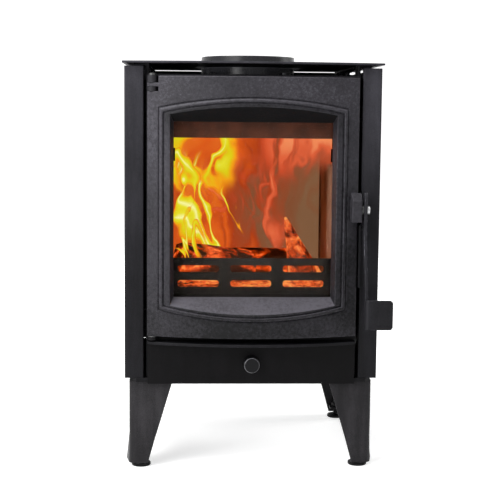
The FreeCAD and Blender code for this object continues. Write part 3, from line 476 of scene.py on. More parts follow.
@dataclass(frozen=True)
class SandCast:
    """Sand-cast iron under matt enamel, with painted light and shade: paler top, left side and sill,
    darker underside and arch band.
    """

    name: str
    base: Colour
    rough: float = 0.5
    lump: float = 220.0
    sand: float = 700.0
    pit: float = 420.0
    cloud: float = 11.0
    patch: float = 150.0
    fleck: float = 1500.0
    relief: float = 0.00055
    edge_radius: float = 0.0030
    edge_reach: float = 1.2
    edge_tone: float = 3.1
    pale_tone: float = 1.4
    dark_tone: float = 0.12
    gloss: float = 1.25
    # the next three fields paint the casting darker low down and paler near the top: painted shade
    # and painted light
    fade: float = 0.22
    painted_dark_z: float = 0.22
    painted_lit_z: float = 0.58
    # the painted light on the left side rises between these places across the door
    lit_side_x: Span = (-0.09, -0.15)
    # painted light on the up-facing sill, with the heights it spans
    sill_light: float = 0.75
    sill_light_z: Span = (0.31, 0.28)
    # painted shade on down-facing faces near the arch, with the heights it spans
    soot_and_shade: float = 1.5
    underside_shade_z: Span = (0.50, 0.53)
    # the next fields place the painted shade on the moulding's inner band under the arch
    band_half: float = 0.1356
    band_spring: float = 0.5545
    band_rise: float = 0.0155
    band_soft: float = 0.0008
    band_z: Span = (0.50, 0.55)
    band_painted_shade: float = 0.34

    def make(self) -> bpy.types.Material:
        """Build the finish.

        Returns:
            The material.
        """
        shader = Shader(self.name)
        at = shader.place()
        x, z, upward = shader.along(Axis.X), shader.along(Axis.Z), shader.facing(Axis.Z)
        lumps = shader.noise(self.lump, at, detail=3.0, rough=0.5)
        sand = shader.noise(self.sand, at, detail=4.0, rough=0.62)
        pits = shader.cells(self.pit, at).step(0.02, 0.28)
        cloud = shader.noise(self.cloud, at, detail=5.0, rough=0.6)
        patches = shader.noise(self.patch, at, detail=3.0).step(0.3, 0.62)
        # edge mask: scuffed edges, and the painted highlight on the moulding's bead
        edge = shader.edge(self.edge_radius * self.edge_reach) * patches
        tone = (cloud * 0.35 + sand * 0.35 + lumps * 0.3).step(0.3, 0.7)
        # painted light and shade: darker toward the bottom, paler toward the top
        painted_height_light = z.step(self.painted_dark_z, self.painted_lit_z, -self.fade, self.fade)
        # painted shade: down-facing faces high on the door made darker
        painted_underside_shade = upward.step(-0.25, -0.6) * z.step(*self.underside_shade_z)
        # painted light: up-facing faces low on the door made paler
        painted_sill_light = upward.step(0.2, 0.55) * z.step(*self.sill_light_z)
        # painted light: the left side of the door paler, as lit from the left
        painted_lit_side = x.step(*self.lit_side_x)
        flecks = shader.noise(self.fleck, at, detail=2.0, rough=0.5).step(0.60, 0.72)
        # bright flecks only on the painted lit side and on the edges: painted light
        grains = flecks * (painted_lit_side + edge).at_most(1.0)
        # scuffed edges and flecks, with painted highlight, painted sill light and painted light on
        # the left side
        wear_and_painted_light = edge * 0.75 + painted_sill_light * self.sill_light + grains * 0.8 + painted_lit_side * 0.10
        clean = (tone * 0.75 + painted_height_light + wear_and_painted_light).at_most(1.0)
        # painted shade on down-facing faces and on the arch's inner band
        shade = clean - painted_underside_shade * self.soot_and_shade - self._arch(x, z) * self.band_painted_shade
        stops = ((0.0, lift(self.base, self.dark_tone)), (0.40, self.base),
                 (0.65, lift(self.base, self.pale_tone)), (1.0, lift(self.base, self.edge_tone)))
        shader.feed("Base Color", shade.ramp(stops))
        smear = cloud.step(0.3, 0.7, -0.06, 0.06) + sand.step(0.25, 0.75, -0.08, 0.08)
        shader.feed("Roughness", smear + self.rough + painted_underside_shade * 0.45)
        shader.feed("IOR", self.gloss)
        height = sand * 0.55 + lumps * 0.9 + pits * 0.25
        shader.bump(height, self.relief, strength=0.85, edge_radius=self.edge_radius)
        return shader.material

    def _arch(self, x: Signal, z: Signal) -> Signal:
        """Return a mask of the moulding's inner band under the arch, where shade is painted.

        Args:
            x: Place across the door.
            z: Height above the floor.

        Returns:
            The mask.
        """
        crown = self.band_spring + self.band_rise
        below = crown - x * x * (self.band_rise / self.band_half ** 2) - z
        outer, inner = self.band_half + self.band_soft, self.band_half - self.band_soft
        in_width = x.distance(0.0).step(outer, inner)
        return below.step(-self.band_soft, self.band_soft) * in_width * z.step(*self.band_z)


@dataclass(frozen=True)
class BareMetal:
    """Bare or heat-marked metal, with fine turning lines."""

    name: str
    base: Colour
    tint: Colour
    rough: float = 0.3
    metallic: float = 1.0
    edge_radius: float = 0.0006
    gloss: float = 1.5
    cloud: float = 40.0
    line: float = 1500.0
    line_stretch: Point = (0.06, 1.0, 1.0)
    relief: float = 0.00004

    def make(self) -> bpy.types.Material:
        """Build the finish.

        Returns:
            The material.
        """
        shader = Shader(self.name)
        cloud = shader.noise(self.cloud, shader.place(), detail=5.0, rough=0.6)
        turned = shader.noise(self.line, shader.place(self.line_stretch), detail=3.0, rough=0.6)
        stain = (cloud * 0.7 + turned * 0.3).step(0.3, 0.7)
        shader.feed("Base Color", shader.blend(stain, self.tint, self.base))
        smear = cloud.step(0.3, 0.7, -0.07, 0.09) + turned.step(0.2, 0.8, -0.05, 0.05)
        shader.feed("Roughness", smear + self.rough)
        shader.feed("Metallic", self.metallic)
        shader.feed("IOR", self.gloss)
        shader.bump(turned + cloud * 0.5, self.relief, strength=0.6, edge_radius=self.edge_radius)
        return shader.material


@dataclass(frozen=True)
class Brick:
    """Dry porous fire brick, sooted by the fire."""

    name: str
    base: Colour
    soot: Colour
    pore: float = 330.0
    soot_and_shade: float = 14.0
    # frequency of the soot patches on the brick
    relief: float = 0.0008
    edge_radius: float = 0.002

    def make(self) -> bpy.types.Material:
        """Build the finish.

        Returns:
            The material.
        """
        shader = Shader(self.name)
        at = shader.place()
        pores = shader.cells(self.pore, at).step(0.05, 0.4)
        soot_and_shade = shader.noise(self.soot_and_shade, at, detail=6.0, rough=0.6)
        clean = (soot_and_shade * 0.75 + pores * 0.25).step(0.3, 0.72)
        shader.feed("Base Color", shader.blend(clean, self.soot, self.base))
        shader.feed("Roughness", pores.step(0.0, 1.0, 0.8, 0.95))
        shader.bump(pores + soot_and_shade, self.relief, strength=0.8, edge_radius=self.edge_radius)
        return shader.material


@dataclass(frozen=True)
class Fibre:
    """Braided glass-fibre rope and tape."""

    name: str
    base: Colour
    dark_tone: float = 0.5
    strand: float = 420.0
    strand_stretch: Point = (1.0, 1.0, 0.5)
    cloud: float = 30.0
    relief: float = 0.0006

    def make(self) -> bpy.types.Material:
        """Build the finish.

        Returns:
            The material.
        """
        shader = Shader(self.name)
        along = shader.place(self.strand_stretch)
        strand = shader.noise(self.strand, along, detail=4.0, rough=0.6, warp=0.6)
        cloud = shader.noise(self.cloud, shader.place(), detail=4.0)
        weave = (strand * 0.7 + cloud * 0.3).step(0.3, 0.7)
        shader.feed("Base Color", shader.blend(weave, lift(self.base, self.dark_tone), self.base))
        shader.feed("Roughness", strand.step(0.2, 0.8, 0.75, 0.95))
        shader.bump(strand, self.relief, strength=0.9)
        return shader.material


@dataclass(frozen=True)
class WindowGlass:
    """Clear ceramic glass with a faint soot bloom and, as in the photo, little reflection."""

    name: str
    clear: Colour = (0.97, 0.95, 0.92)
    sooty: Colour = (0.90, 0.86, 0.80)
    bloom: float = 16.0
    haze: float = 0.016
    gloss: float = 1.05

    def make(self) -> bpy.types.Material:
        """Build the finish.

        Returns:
            The material.
        """
        shader = Shader(self.name)
        bloom = shader.noise(self.bloom, shader.place(), detail=5.0, rough=0.6)
        shader.feed("Base Color", shader.blend(bloom.step(0.3, 0.75), self.clear, self.sooty))
        shader.feed("Roughness", bloom.step(0.35, 0.8, 0.0, self.haze))
        shader.feed("Transmission Weight", 1.0)
        shader.feed("IOR", self.gloss)
        return shader.material


class Flame(Shader):
    """Glow material whose colour and cut-out follow a heat pattern.

    Slow and quick noise sways the licks.
    """

    SLOW = 8.0
    SLOW_STRETCH = (1.0, 1.0, 0.8)
    QUICK = 24.0
    QUICK_STRETCH = (1.0, 1.0, 0.7)
    QUICK_SHIFT = 3.0
    QUICK_SHARE = 0.25
    DEPTH_SHARE = 0.37

    def __init__(self, name: str, seed: float) -> None:
        """Make an unlit, glowing material.

        Args:
            name: Material name.
            seed: Offset of the patterns.
        """
        super().__init__(name)
        self.seed = seed
        self.x = self.along(Axis.X)
        self.z = self.along(Axis.Z)
        self.feed("Base Color", (*BLACK, 1.0))
        self.feed("Roughness", 1.0)
        self.feed("Specular IOR Level", 0.0)

    def licks(self, across: float, along: float, sway: float, detail: float) -> Signal:
        """Return noise drawn upward into swaying licks.

        Args:
            across: Frequency across the fire.
            along: Frequency up the fire.
            sway: Sideways wander in metres.
            detail: Octaves.

        Returns:
            The pattern.
        """
        slow_at = self.place(self.SLOW_STRETCH, (self.seed, 0.0, 0.0))
        quick_at = self.place(self.QUICK_STRETCH, (self.seed + self.QUICK_SHIFT, 0.0, 0.0))
        slow = self.noise(self.SLOW, slow_at, detail=2.0, rough=0.5)
        quick = self.noise(self.QUICK, quick_at, detail=2.0, rough=0.5)
        tremble = self.QUICK_SHARE * sway
        drift = slow.step(0.2, 0.8, -sway, sway) + quick.step(0.2, 0.8, -tremble, tremble)
        at = self.join((self.x + drift) * across, self.seed * self.DEPTH_SHARE,
                       self.z * along + self.seed)
        return self.noise(1.0, at, detail, rough=0.5, warp=0.4)

    def span(self, left: float, right: float, soft: float) -> Signal:
        """Return a mask between two places across the fire.

        Args:
            left: Left end in metres.
            right: Right end in metres.
            soft: Half the width of the fade in metres.

        Returns:
            The mask.
        """
        return self.x.step(left - soft, left + soft) * self.x.step(right + soft, right - soft)

    def burn(self, heat: Signal, colours: Stops, glow: float,
             cover: Signal) -> bpy.types.Material:
        """Turn heat into light.

        Args:
            heat: Heat pattern.
            colours: Colours by heat.
            glow: Light strength.
            cover: Opacity.

        Returns:
            The material.
        """
        self.feed("Emission Color", heat.ramp(colours))
        self.feed("Emission Strength", glow)
        self.feed("Alpha", cover)
        return self.material


@dataclass(frozen=True)
class FireGlow:
    """Haze of the fire, orange at the hot side and brown at the cool side."""

    name: str
    seed: float
    low: float
    rise: float = 0.045
    left: float = -0.16
    right: float = 0.155
    soft: float = 0.022
    warm_x: Span = (0.11, -0.06)
    glow: float = 1.0
    colours: Stops = (
        (0.0, (0.240, 0.120, 0.060)),
        (0.30, (0.24, 0.085, 0.037)),
        (0.52, (0.42, 0.050, 0.010)),
        (0.74, (0.72, 0.105, 0.012)),
        (1.0, (0.82, 0.19, 0.020)),
    )

    def make(self) -> bpy.types.Material:
        """Build the finish.

        Returns:
            The material.
        """
        flame = Flame(self.name, self.seed)
        lick = flame.licks(across=26.0, along=5.0, sway=0.03, detail=3.0)
        warm = flame.x.step(*self.warm_x) * 0.72 + lick.step(0.3, 0.7, -0.16, 0.28)
        above = flame.z.step(self.low, self.low + self.rise)
        between = flame.span(self.left, self.right, self.soft)
        cover = warm.step(-0.1, 0.5, 0.88, 1.0) * above * between
        return flame.burn(warm, self.colours, self.glow, cover)


@dataclass(frozen=True)
class RedFlame:
    """Thin red flame drawn up toward the flue."""

    name: str
    seed: float
    left: float
    right: float
    low: float
    rise: float = 0.10
    soft: float = 0.03
    spread: float = 0.0
    across: float = 34.0
    glow: float = 1.1
    colours: Stops = (
        (0.0, (0.34, 0.026, 0.008)),
        (0.45, (0.62, 0.075, 0.026)),
        (0.8, (0.74, 0.13, 0.050)),
        (1.0, (0.88, 0.27, 0.11)),
    )

    def make(self) -> bpy.types.Material:
        """Build the finish.

        Returns:
            The material.
        """
        flame = Flame(self.name, self.seed)
        lick = flame.licks(across=self.across, along=7.0, sway=0.05, detail=3.0)
        above = flame.z.step(self.low, self.low + self.rise)
        between = flame.span(self.left, self.right, self.soft)
        heat = lick.step(0.44 - self.spread, 0.70 - self.spread) * between * above
        return flame.burn(heat, self.colours, self.glow, heat.step(0.05, 0.75, 0.0, 0.92))


@dataclass(frozen=True)
class YellowFlame:
    """Bright branching flame.

    The width is that of a branch, as a share of the lick pattern.
    """

    name: str
    seed: float
    left: float
    right: float
    width: float
    low: float = 0.25
    rise: float = 0.03
    soft: float = 0.02
    fill: float = 0.0
    patch: float = 13.0
    patch_shift: float = 9.0
    patch_stretch: Point = (1.0, 1.0, 0.7)
    glow: float = 1.12
    colours: Stops = (
        (0.0, (0.80, 0.15, 0.010)),
        (0.28, (0.84, 0.33, 0.010)),
        (0.5, (0.70, 0.60, 0.010)),
        (0.78, (0.74, 0.70, 0.030)),
        (1.0, (0.88, 0.88, 0.34)),
    )

    def make(self) -> bpy.types.Material:
        """Build the finish.

        Returns:
            The material.
        """
        flame = Flame(self.name, self.seed)
        lick = flame.licks(across=21.0, along=8.0, sway=0.045, detail=1.0)
        shift = (self.seed + self.patch_shift, 0.0, 0.0)
        body_at = flame.place(self.patch_stretch, shift)
        body = flame.noise(self.patch, body_at, detail=2.0, rough=0.5)
        thick = body.step(0.38, 0.68, self.width * 0.45, self.width * 1.6)
        vein = (1.0 - lick.distance(0.5) / thick).at_least(0.0)
        above = flame.z.step(self.low, self.low + self.rise)
        between = flame.span(self.left, self.right, self.soft)
        heat = vein * between * body.step(0.36 - self.fill, 0.50 - self.fill) * above
        return flame.burn(heat, self.colours, self.glow, heat.step(0.03, 0.30))


@dataclass(frozen=True)
class Ember:
    """Charred wood with glowing cracks."""

    name: str
    bark: Colour
    glow: float
    level: float
    dark_tone: float = 0.3
    crack: float = 42.0
    crack_stretch: Point = (0.5, 1.0, 1.0)
    ash: float = 130.0
    relief: float = 0.003
    colours: Stops = (
        (0.0, BLACK),
        (0.35, (0.45, 0.03, 0.0)),
        (0.7, (0.85, 0.12, 0.02)),
        (1.0, (0.95, 0.36, 0.08)),
    )

    def make(self) -> bpy.types.Material:
        """Build the finish.

        Returns:
            The material.
        """
        shader = Shader(self.name)
        along = shader.place(self.crack_stretch)
        crack = shader.noise(self.crack, along, detail=5.0, rough=0.6, warp=0.8)
        ash = shader.noise(self.ash, shader.place(), detail=4.0)
        pale = (crack * 0.6 + ash * 0.4).step(0.3, 0.7)
        shader.feed("Base Color", shader.blend(pale, lift(self.bark, self.dark_tone), self.bark))
        shader.feed("Roughness", ash.step(0.2, 0.8, 0.8, 0.98))
        heat = (crack + ash * 0.3).step(self.level, self.level + 0.32)
        shader.feed("Emission Color", heat.ramp(self.colours))
        shader.feed("Emission Strength", self.glow)
        shader.bump(crack + ash * 0.4, self.relief, strength=0.9)
        return shader.material


class Finish(Protocol):
    """Anything that can make a material under its own name."""

    name: str

    def make(self) -> bpy.types.Material:
        """Return the material."""


Dressing = List[Tuple[Finish, Tuple[str, ...]]]


@dataclass
class SubAssembly:
    """A group of CAD nodes that are dressed together."""

    def finishes(self) -> Dressing:
        """Return each finish with the nodes that wear it."""
        raise NotImplementedError

    def dress(self) -> List[str]:
        """Give every node of the group its finish.

        Returns:
            Names of the dressed nodes.
        """
        dressed = []
        for finish, nodes in self.finishes():
            material = finish.make()
            for node in nodes:
                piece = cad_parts[node]
                if not piece.material_slots:
                    piece.data.materials.append(material)
                for entry in piece.material_slots:
                    entry.material = material
                LOG.info("%s wears %s", node, finish.name)
                dressed.append(node)
        return dressed


@dataclass
class Casing(SubAssembly):
    """Folded sides, rear shield, top plate, hearth lip, lower panel and their fixings."""

    sheet_edge: float = 0.0012
    screw_edge: float = 0.0005

    def finishes(self) -> Dressing:
        """Return the finishes of the casing.

        Returns:
            Each finish with the nodes that wear it.
        """
        edge = self.sheet_edge
        sheet = Enamel("enamel_casing", (0.0155, 0.0150, 0.0178), edge_radius=edge)
        # the lower panel is a darker copy of the casing enamel: painted shade under the hearth lip
        panel = Enamel("enamel_panel", (0.0055, 0.005, 0.0058), gloss=1.17, edge_radius=edge)
        screws = Enamel("enamel_casing_screw", FASTENER, rough=0.4, edge_radius=self.screw_edge)
        return [
            (sheet, ("left_side_panel", "right_side_panel", "rear_panel", "top_plate", "hearth_lip",
                     "top_plate_brackets", "left_panel_spacers", "right_panel_spacers")),
            (panel, ("lower_front_panel",)),
            (screws, ("top_plate_screws", "rear_panel_screws")),
        ]


@dataclass
class Firebox(SubAssembly):
    """Welded box, lining, baffle, fire bed and ash pan."""

    wall_edge: float = 0.0012

    def finishes(self) -> Dressing:
        """Return the finishes of the firebox.

        Returns:
            Each finish with the nodes that wear it.
        """
        edge = self.wall_edge
        walls = Enamel("enamel_firebox", INNER_SHEET, edge_radius=edge)
        guard = Enamel("enamel_guard", (0.0165, 0.0152, 0.0146), rough=0.6, wear_and_highlight=0.2, gloss=1.18,
                       fade=0.0, edge_radius=edge)
        iron = BareMetal("iron_bare", (0.0165, 0.0150, 0.0142), (0.0125, 0.0115, 0.0110),
                         rough=0.7, metallic=0.0, gloss=1.18)
        heated = BareMetal("steel_heat", (0.104, 0.037, 0.023), (0.046, 0.019, 0.013),
                           rough=0.85, metallic=0.0, gloss=1.25)
        brick = Brick("brick_fire", (0.46, 0.31, 0.21), (0.12, 0.085, 0.065))
        return [
            (walls, ("firebox_left_wall", "firebox_right_wall", "firebox_back_wall", "firebox_roof",
                     "firebox_floor", "front_frame")),
            (iron, ("grate",)),
            (guard, ("log_guard",)),
            (heated, ("air_wash_deflector", "baffle_plate", "ash_pan", "left_grate_bearer",
                      "right_grate_bearer")),
            (brick, ("left_fire_brick", "right_fire_brick", "back_fire_brick")),
        ]


@dataclass
class Flue(SubAssembly):
    """Flue collar and the bolts that hold it to the roof."""

    collar_edge: float = 0.0012
    bolt_edge: float = 0.0005

    def finishes(self) -> Dressing:
        """Return the finishes of the flue.

        Returns:
            Each finish with the nodes that wear it.
        """
        collar = Enamel("enamel_flue", (0.0060, 0.0060, 0.0070), rough=0.26, gloss=1.38,
                        edge_radius=self.collar_edge)
        bolts = Enamel("enamel_flue_bolt", FASTENER, rough=0.4, edge_radius=self.bolt_edge)
        return [(collar, ("flue_collar",)), (bolts, ("flue_collar_bolts",))]


@dataclass
class Door(SubAssembly):
    """Bowed casting with its glass, seals, clips and hinge."""

    cast_edge: float = 0.0030
    hinge_edge: float = 0.001
    clip_edge: float = 0.0005

    def finishes(self) -> Dressing:
        """Return the finishes of the door.

        Returns:
            Each finish with the nodes that wear it.
        """
        cast = SandCast("enamel_cast", (0.0252, 0.0238, 0.0281), edge_radius=self.cast_edge)
        rope = Fibre("fibre_rope", (0.10, 0.10, 0.10))
        clips = Enamel("enamel_clip", FASTENER, rough=0.4, edge_radius=self.clip_edge)
        hinge = Enamel("enamel_hinge", (0.011, 0.0106, 0.012), edge_radius=self.hinge_edge)
        pins = BareMetal("steel_hinge", (0.10, 0.10, 0.10), (0.05, 0.05, 0.05), rough=0.42)
        return [
            (cast, ("door_casting",)),
            (WindowGlass("glass_window"), ("door_glass",)),
            (rope, ("door_rope_seal", "glass_gasket")),
            (clips, ("glass_clips", "glass_clip_screws")),
            (hinge, ("upper_hinge_lugs", "lower_hinge_lug")),
            (pins, ("upper_hinge_pin", "lower_hinge_pin", "lower_hinge_washer")),
        ]


@dataclass
class Latch(SubAssembly):
    """Lever with its grip pad, pivot and strike."""

    lever_edge: float = 0.0018

    def finishes(self) -> Dressing:
        """Return the finishes of the latch.

        Returns:
            Each finish with the nodes that wear it.
        """
        # the lever's pale edges are a painted highlight
        lever = Enamel("enamel_handle", (0.024, 0.0233, 0.0272), rough=0.42, wear_and_highlight=0.8,
                       edge_tone=7.0, edge_radius=self.lever_edge)
        bolt = BareMetal("steel_bright", (0.50, 0.50, 0.50), (0.30, 0.30, 0.31), rough=0.30)
        washer = BareMetal("steel_washer", (0.08, 0.08, 0.08), (0.04, 0.04, 0.04), rough=0.45)
        return [
            (lever, ("handle_lever",)),
            (Enamel("enamel_strike", INNER_SHEET), ("latch_strike",)),
            (bolt, ("latch_pivot_bolt",)),
            (washer, ("latch_spacer_washer",)),
        ]


@dataclass
class AirControl(SubAssembly):
    """Knob, rod, damper and guides of the air inlet."""

    rod_edge: float = 0.0006

    def finishes(self) -> Dressing:
        """Return the finishes of the air control.

        Returns:
            Each finish with the nodes that wear it.
        """
        # the second colour is the painted highlight on the knob's rim
        knob = KnobEnamel("enamel_knob", (0.0044, 0.0044, 0.0052), (0.16, 0.16, 0.17))
        rod = BareMetal("steel_rod", (0.42, 0.42, 0.42), (0.26, 0.26, 0.27), rough=0.34,
                        edge_radius=self.rod_edge)
        return [
            (knob, ("air_knob",)),
            (rod, ("air_rod", "air_damper")),
            (Enamel("enamel_guide", INNER_SHEET), ("damper_guides",)),
        ]


@dataclass
class Stand(SubAssembly):
    """Base plate, folded legs and levelling glides."""

    leg_edge: float = 0.0012
    glide_edge: float = 0.0006

    def finishes(self) -> Dressing:
        """Return the finishes of the stand.

        Returns:
            Each finish with the nodes that wear it.
        """
        feet = [f"{end}_{side}" for end in ("front", "rear") for side in ("left", "right")]
        base = Enamel("enamel_base", INNER_SHEET, edge_radius=self.leg_edge)
        leg = Enamel("enamel_leg", (0.046, 0.0434, 0.0475), edge_radius=self.leg_edge)
        glide = Enamel("enamel_glide", (0.02, 0.02, 0.021), rough=0.45,
                       edge_radius=self.glide_edge)
        bolts = Enamel("enamel_leg_bolt", FASTENER, rough=0.4, edge_radius=self.glide_edge)
        return [
            (base, ("base_plate",)),
            (leg, tuple(f"leg_{foot}" for foot in feet)),
            (glide, tuple(f"foot_{foot}" for foot in feet)),
            (bolts, ("leg_bolts", "foot_lock_nuts")),
        ]


def fresh(name: str) -> bpy.types.Object:
    """Name the object just made and return it.

    Args:
        name: Name of the piece.

    Returns:
        The object.
    """
    piece = bpy.context.object
    piece.name = name
    piece.data.name = name
    return piece


def only(piece: bpy.types.Object) -> None:
    """Select one piece alone and make it active.

    Args:
        piece: The piece.
    """
    bpy.ops.object.select_all(action="DESELECT")
    piece.select_set(True)
    bpy.context.view_layer.objects.active = piece


def settle(piece: bpy.types.Object, material: bpy.types.Material, body: Optional[Body]) -> None:
    """Freeze a piece at the origin, give it a finish and let it ride.

    Args:
        piece: The piece.
        material: Its finish.
        body: Body it moves with, or None for the studio.
    """
    only(piece)
    bpy.ops.object.transform_apply(location=True, rotation=True, scale=True)
    piece.data.materials.clear()
    piece.data.materials.append(material)
    if body is None:
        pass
    else:
        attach(piece, body.value)
    LOG.info("piece %s", piece.name)


@dataclass(frozen=True)
class Sheet:
    """A flame sheet: its finish, how far back it stands and its height."""

    finish: Finish
    depth: float
    height: float


@dataclass(frozen=True)
class Log:
    """A split log: its middle, end radii and length, and its turn in degrees."""

    name: str
    place: Point
    radii: Span
    length: float
    turn: Point
    glows: bool = False


def flame_sheets(back_height: float = 0.222, front_height: float = 0.262) -> List[Sheet]:
    """Return the flame sheets, from the back of the hearth to the front.

    Args:
        back_height: Height of the sheets in the back of the hearth.
        front_height: Height of the sheets close behind the glass.

    Returns:
        The sheets.
    """
    haze = FireGlow("flame_haze", seed=4.1, low=0.20)
    red_back = RedFlame("flame_red_back", seed=2.3, left=-0.11, right=0.060, low=0.32)
    red_front = RedFlame("flame_red_front", seed=21.6, left=-0.02, right=0.07, low=0.27)
    yellow_back = YellowFlame("flame_yellow_back", seed=7.9, left=-0.135, right=-0.010, width=0.064)
    veil = FireGlow("flame_veil", seed=11.7, low=0.455)
    red_veil = RedFlame("flame_red_veil", seed=33.4, left=0.02, right=0.160, low=0.415,
                        spread=0.15, across=26.0)
    yellow_top = YellowFlame("flame_yellow_top", seed=5.3, left=-0.150, right=-0.030, width=0.190,
                             low=0.40, rise=0.10, fill=0.20)
    yellow_front = YellowFlame("flame_yellow_front", seed=14.2, left=-0.135, right=-0.082,
                               width=0.045, low=0.312)
    back = ((haze, 0.108), (red_back, 0.078), (red_front, 0.044), (yellow_back, 0.015))
    front = ((veil, -0.078), (red_veil, -0.085), (yellow_top, -0.092), (yellow_front, -0.099))
    return ([Sheet(finish, depth, back_height) for finish, depth in back]
            + [Sheet(finish, depth, front_height) for finish, depth in front])


@dataclass
class HearthFire:
    """Flames, split logs and ember bed inside the firebox."""

    bed_z: float = 0.2735
    bed_y: float = -0.005
    bed_lift: float = 0.004
    bed_size: Span = (0.258, 0.225)
    bed_cells: Tuple[int, int] = (60, 50)
    bed_rough: float = 0.004
    bed_seed: int = 5
    sheet_width: float = 0.262
    sheet_cells: int = 40
    sheets: List[Sheet] = field(default_factory=flame_sheets)
    billow: float = 0.005
    swirl: float = 0.06
    log_sides: int = 7
    log_cuts: int = 5
    log_rough: float = 0.35
    logs: Tuple[Log, ...] = (
        Log("log_right", (0.080, 0.0, 0.330), (0.031, 0.002), 0.112, (6.0, -20.0, 12.0), glows=True),
        Log("log_low", (-0.01, 0.045, 0.300), (0.026, 0.024), 0.21, (0.0, 88.0, 4.0)),
        Log("log_left", (-0.055, -0.02, 0.306), (0.031, 0.027), 0.13, (0.0, 97.0, 24.0)),
    )

    def build(self) -> None:
        """Make every piece of the fire."""
        self._flames()
        self._logs()
        self._bed()

    def _flames(self) -> None:
        """Make the flame sheets."""
        for sheet in self.sheets:
            bpy.ops.object.select_all(action="DESELECT")
            middle = (0.0, sheet.depth, self.bed_z + sheet.height / 2)
            bpy.ops.mesh.primitive_grid_add(x_subdivisions=self.sheet_cells,
                                            y_subdivisions=self.sheet_cells, size=1.0,
                                            location=middle, rotation=(math.radians(90), 0.0, 0.0))
            piece = fresh(sheet.finish.name)
            piece.scale = (self.sheet_width, sheet.height, 1.0)
            settle(piece, sheet.finish.make(), Body.STOVE)
            self._billow(piece)

    def _billow(self, piece: bpy.types.Object) -> None:
        """Swell a flame sheet in and out.

        Args:
            piece: The sheet.
        """
        swirl = bpy.data.textures.new("flame_swirl", "CLOUDS")
        swirl.noise_scale = self.swirl
        only(piece)
        swell = piece.modifiers.new("swell", "DISPLACE")
        swell.texture = swirl
        swell.texture_coords = "LOCAL"
        swell.strength = self.billow
        bpy.ops.object.modifier_apply(modifier=swell.name)
        bpy.ops.object.shade_smooth()
        bpy.data.textures.remove(swirl)

    def _logs(self) -> None:
        """Make the burning logs."""
        char = Ember("log_char", (0.11, 0.055, 0.030), glow=1.1, level=0.60).make()
        glowing = Ember("log_glow", (0.20, 0.075, 0.035), glow=0.9, level=0.50).make()
        for log in self.logs:
            bpy.ops.object.select_all(action="DESELECT")
            wide, narrow = log.radii
            turn = tuple(math.radians(angle) for angle in log.turn)
            bpy.ops.mesh.primitive_cone_add(vertices=self.log_sides, radius1=wide, radius2=narrow,
                                            depth=log.length, location=log.place, rotation=turn)
            piece = fresh(log.name)
            bpy.ops.object.mode_set(mode="EDIT")
            bpy.ops.mesh.select_all(action="SELECT")
            bpy.ops.mesh.subdivide(number_cuts=self.log_cuts, fractal=self.log_rough,
                                   seed=len(log.name))
            bpy.ops.object.mode_set(mode="OBJECT")
            settle(piece, glowing if log.glows else char, Body.STOVE)

    def _bed(self) -> None:
        """Make the ember bed on the grate."""
        bpy.ops.object.select_all(action="DESELECT")
        across, along = self.bed_cells
        bpy.ops.mesh.primitive_grid_add(x_subdivisions=across, y_subdivisions=along, size=1.0,
                                        location=(0.0, self.bed_y, self.bed_z + self.bed_lift))
        piece = fresh("ember_bed")
        piece.scale = (*self.bed_size, 1.0)
        bpy.ops.object.mode_set(mode="EDIT")
        bpy.ops.mesh.select_all(action="SELECT")
        bpy.ops.transform.vertex_random(offset=self.bed_rough, seed=self.bed_seed)
        bpy.ops.object.mode_set(mode="OBJECT")
        coals = Ember("ember_bed", (0.12, 0.06, 0.035), glow=0.95, level=0.46)
        settle(piece, coals.make(), Body.STOVE)


@dataclass(frozen=True)
class Paper:
    """Pale studio paper that looks white without lighting the stove.

    Its glow rises between two distances from the middle of the stove.
    """

    name: str
    base: float = 0.62
    paler: float = 1.03
    mottle: float = 3.0
    near: float = 0.5
    far: float = 2.2
    near_glow: float = 0.66

    def make(self) -> bpy.types.Material:
        """Build the finish.

        Returns:
            The material.
        """
        shader = Shader(self.name)
        mottle = shader.noise(self.mottle, shader.place(), detail=3.0)
        pale = (self.base,) * 3
        shader.feed("Base Color", shader.blend(mottle, pale, lift(pale, self.paler)))
        shader.feed("Roughness", mottle.step(0.0, 1.0, 0.85, 0.95))
        x, y, z = (shader.along(axis) for axis in Axis)
        away = (x * x + y * y + z * z).root().step(self.near, self.far, self.near_glow, 1.0)
        shader.feed("Emission Color", shader.blend(away * shader.seen(), BLACK, WHITE))
        shader.feed("Emission Strength", 1.0)
        return shader.material


@dataclass(frozen=True)
class Lamp:
    """A soft box: its place, its size and its power in watts."""

    name: str
    place: Point
    size: Span
    power: float


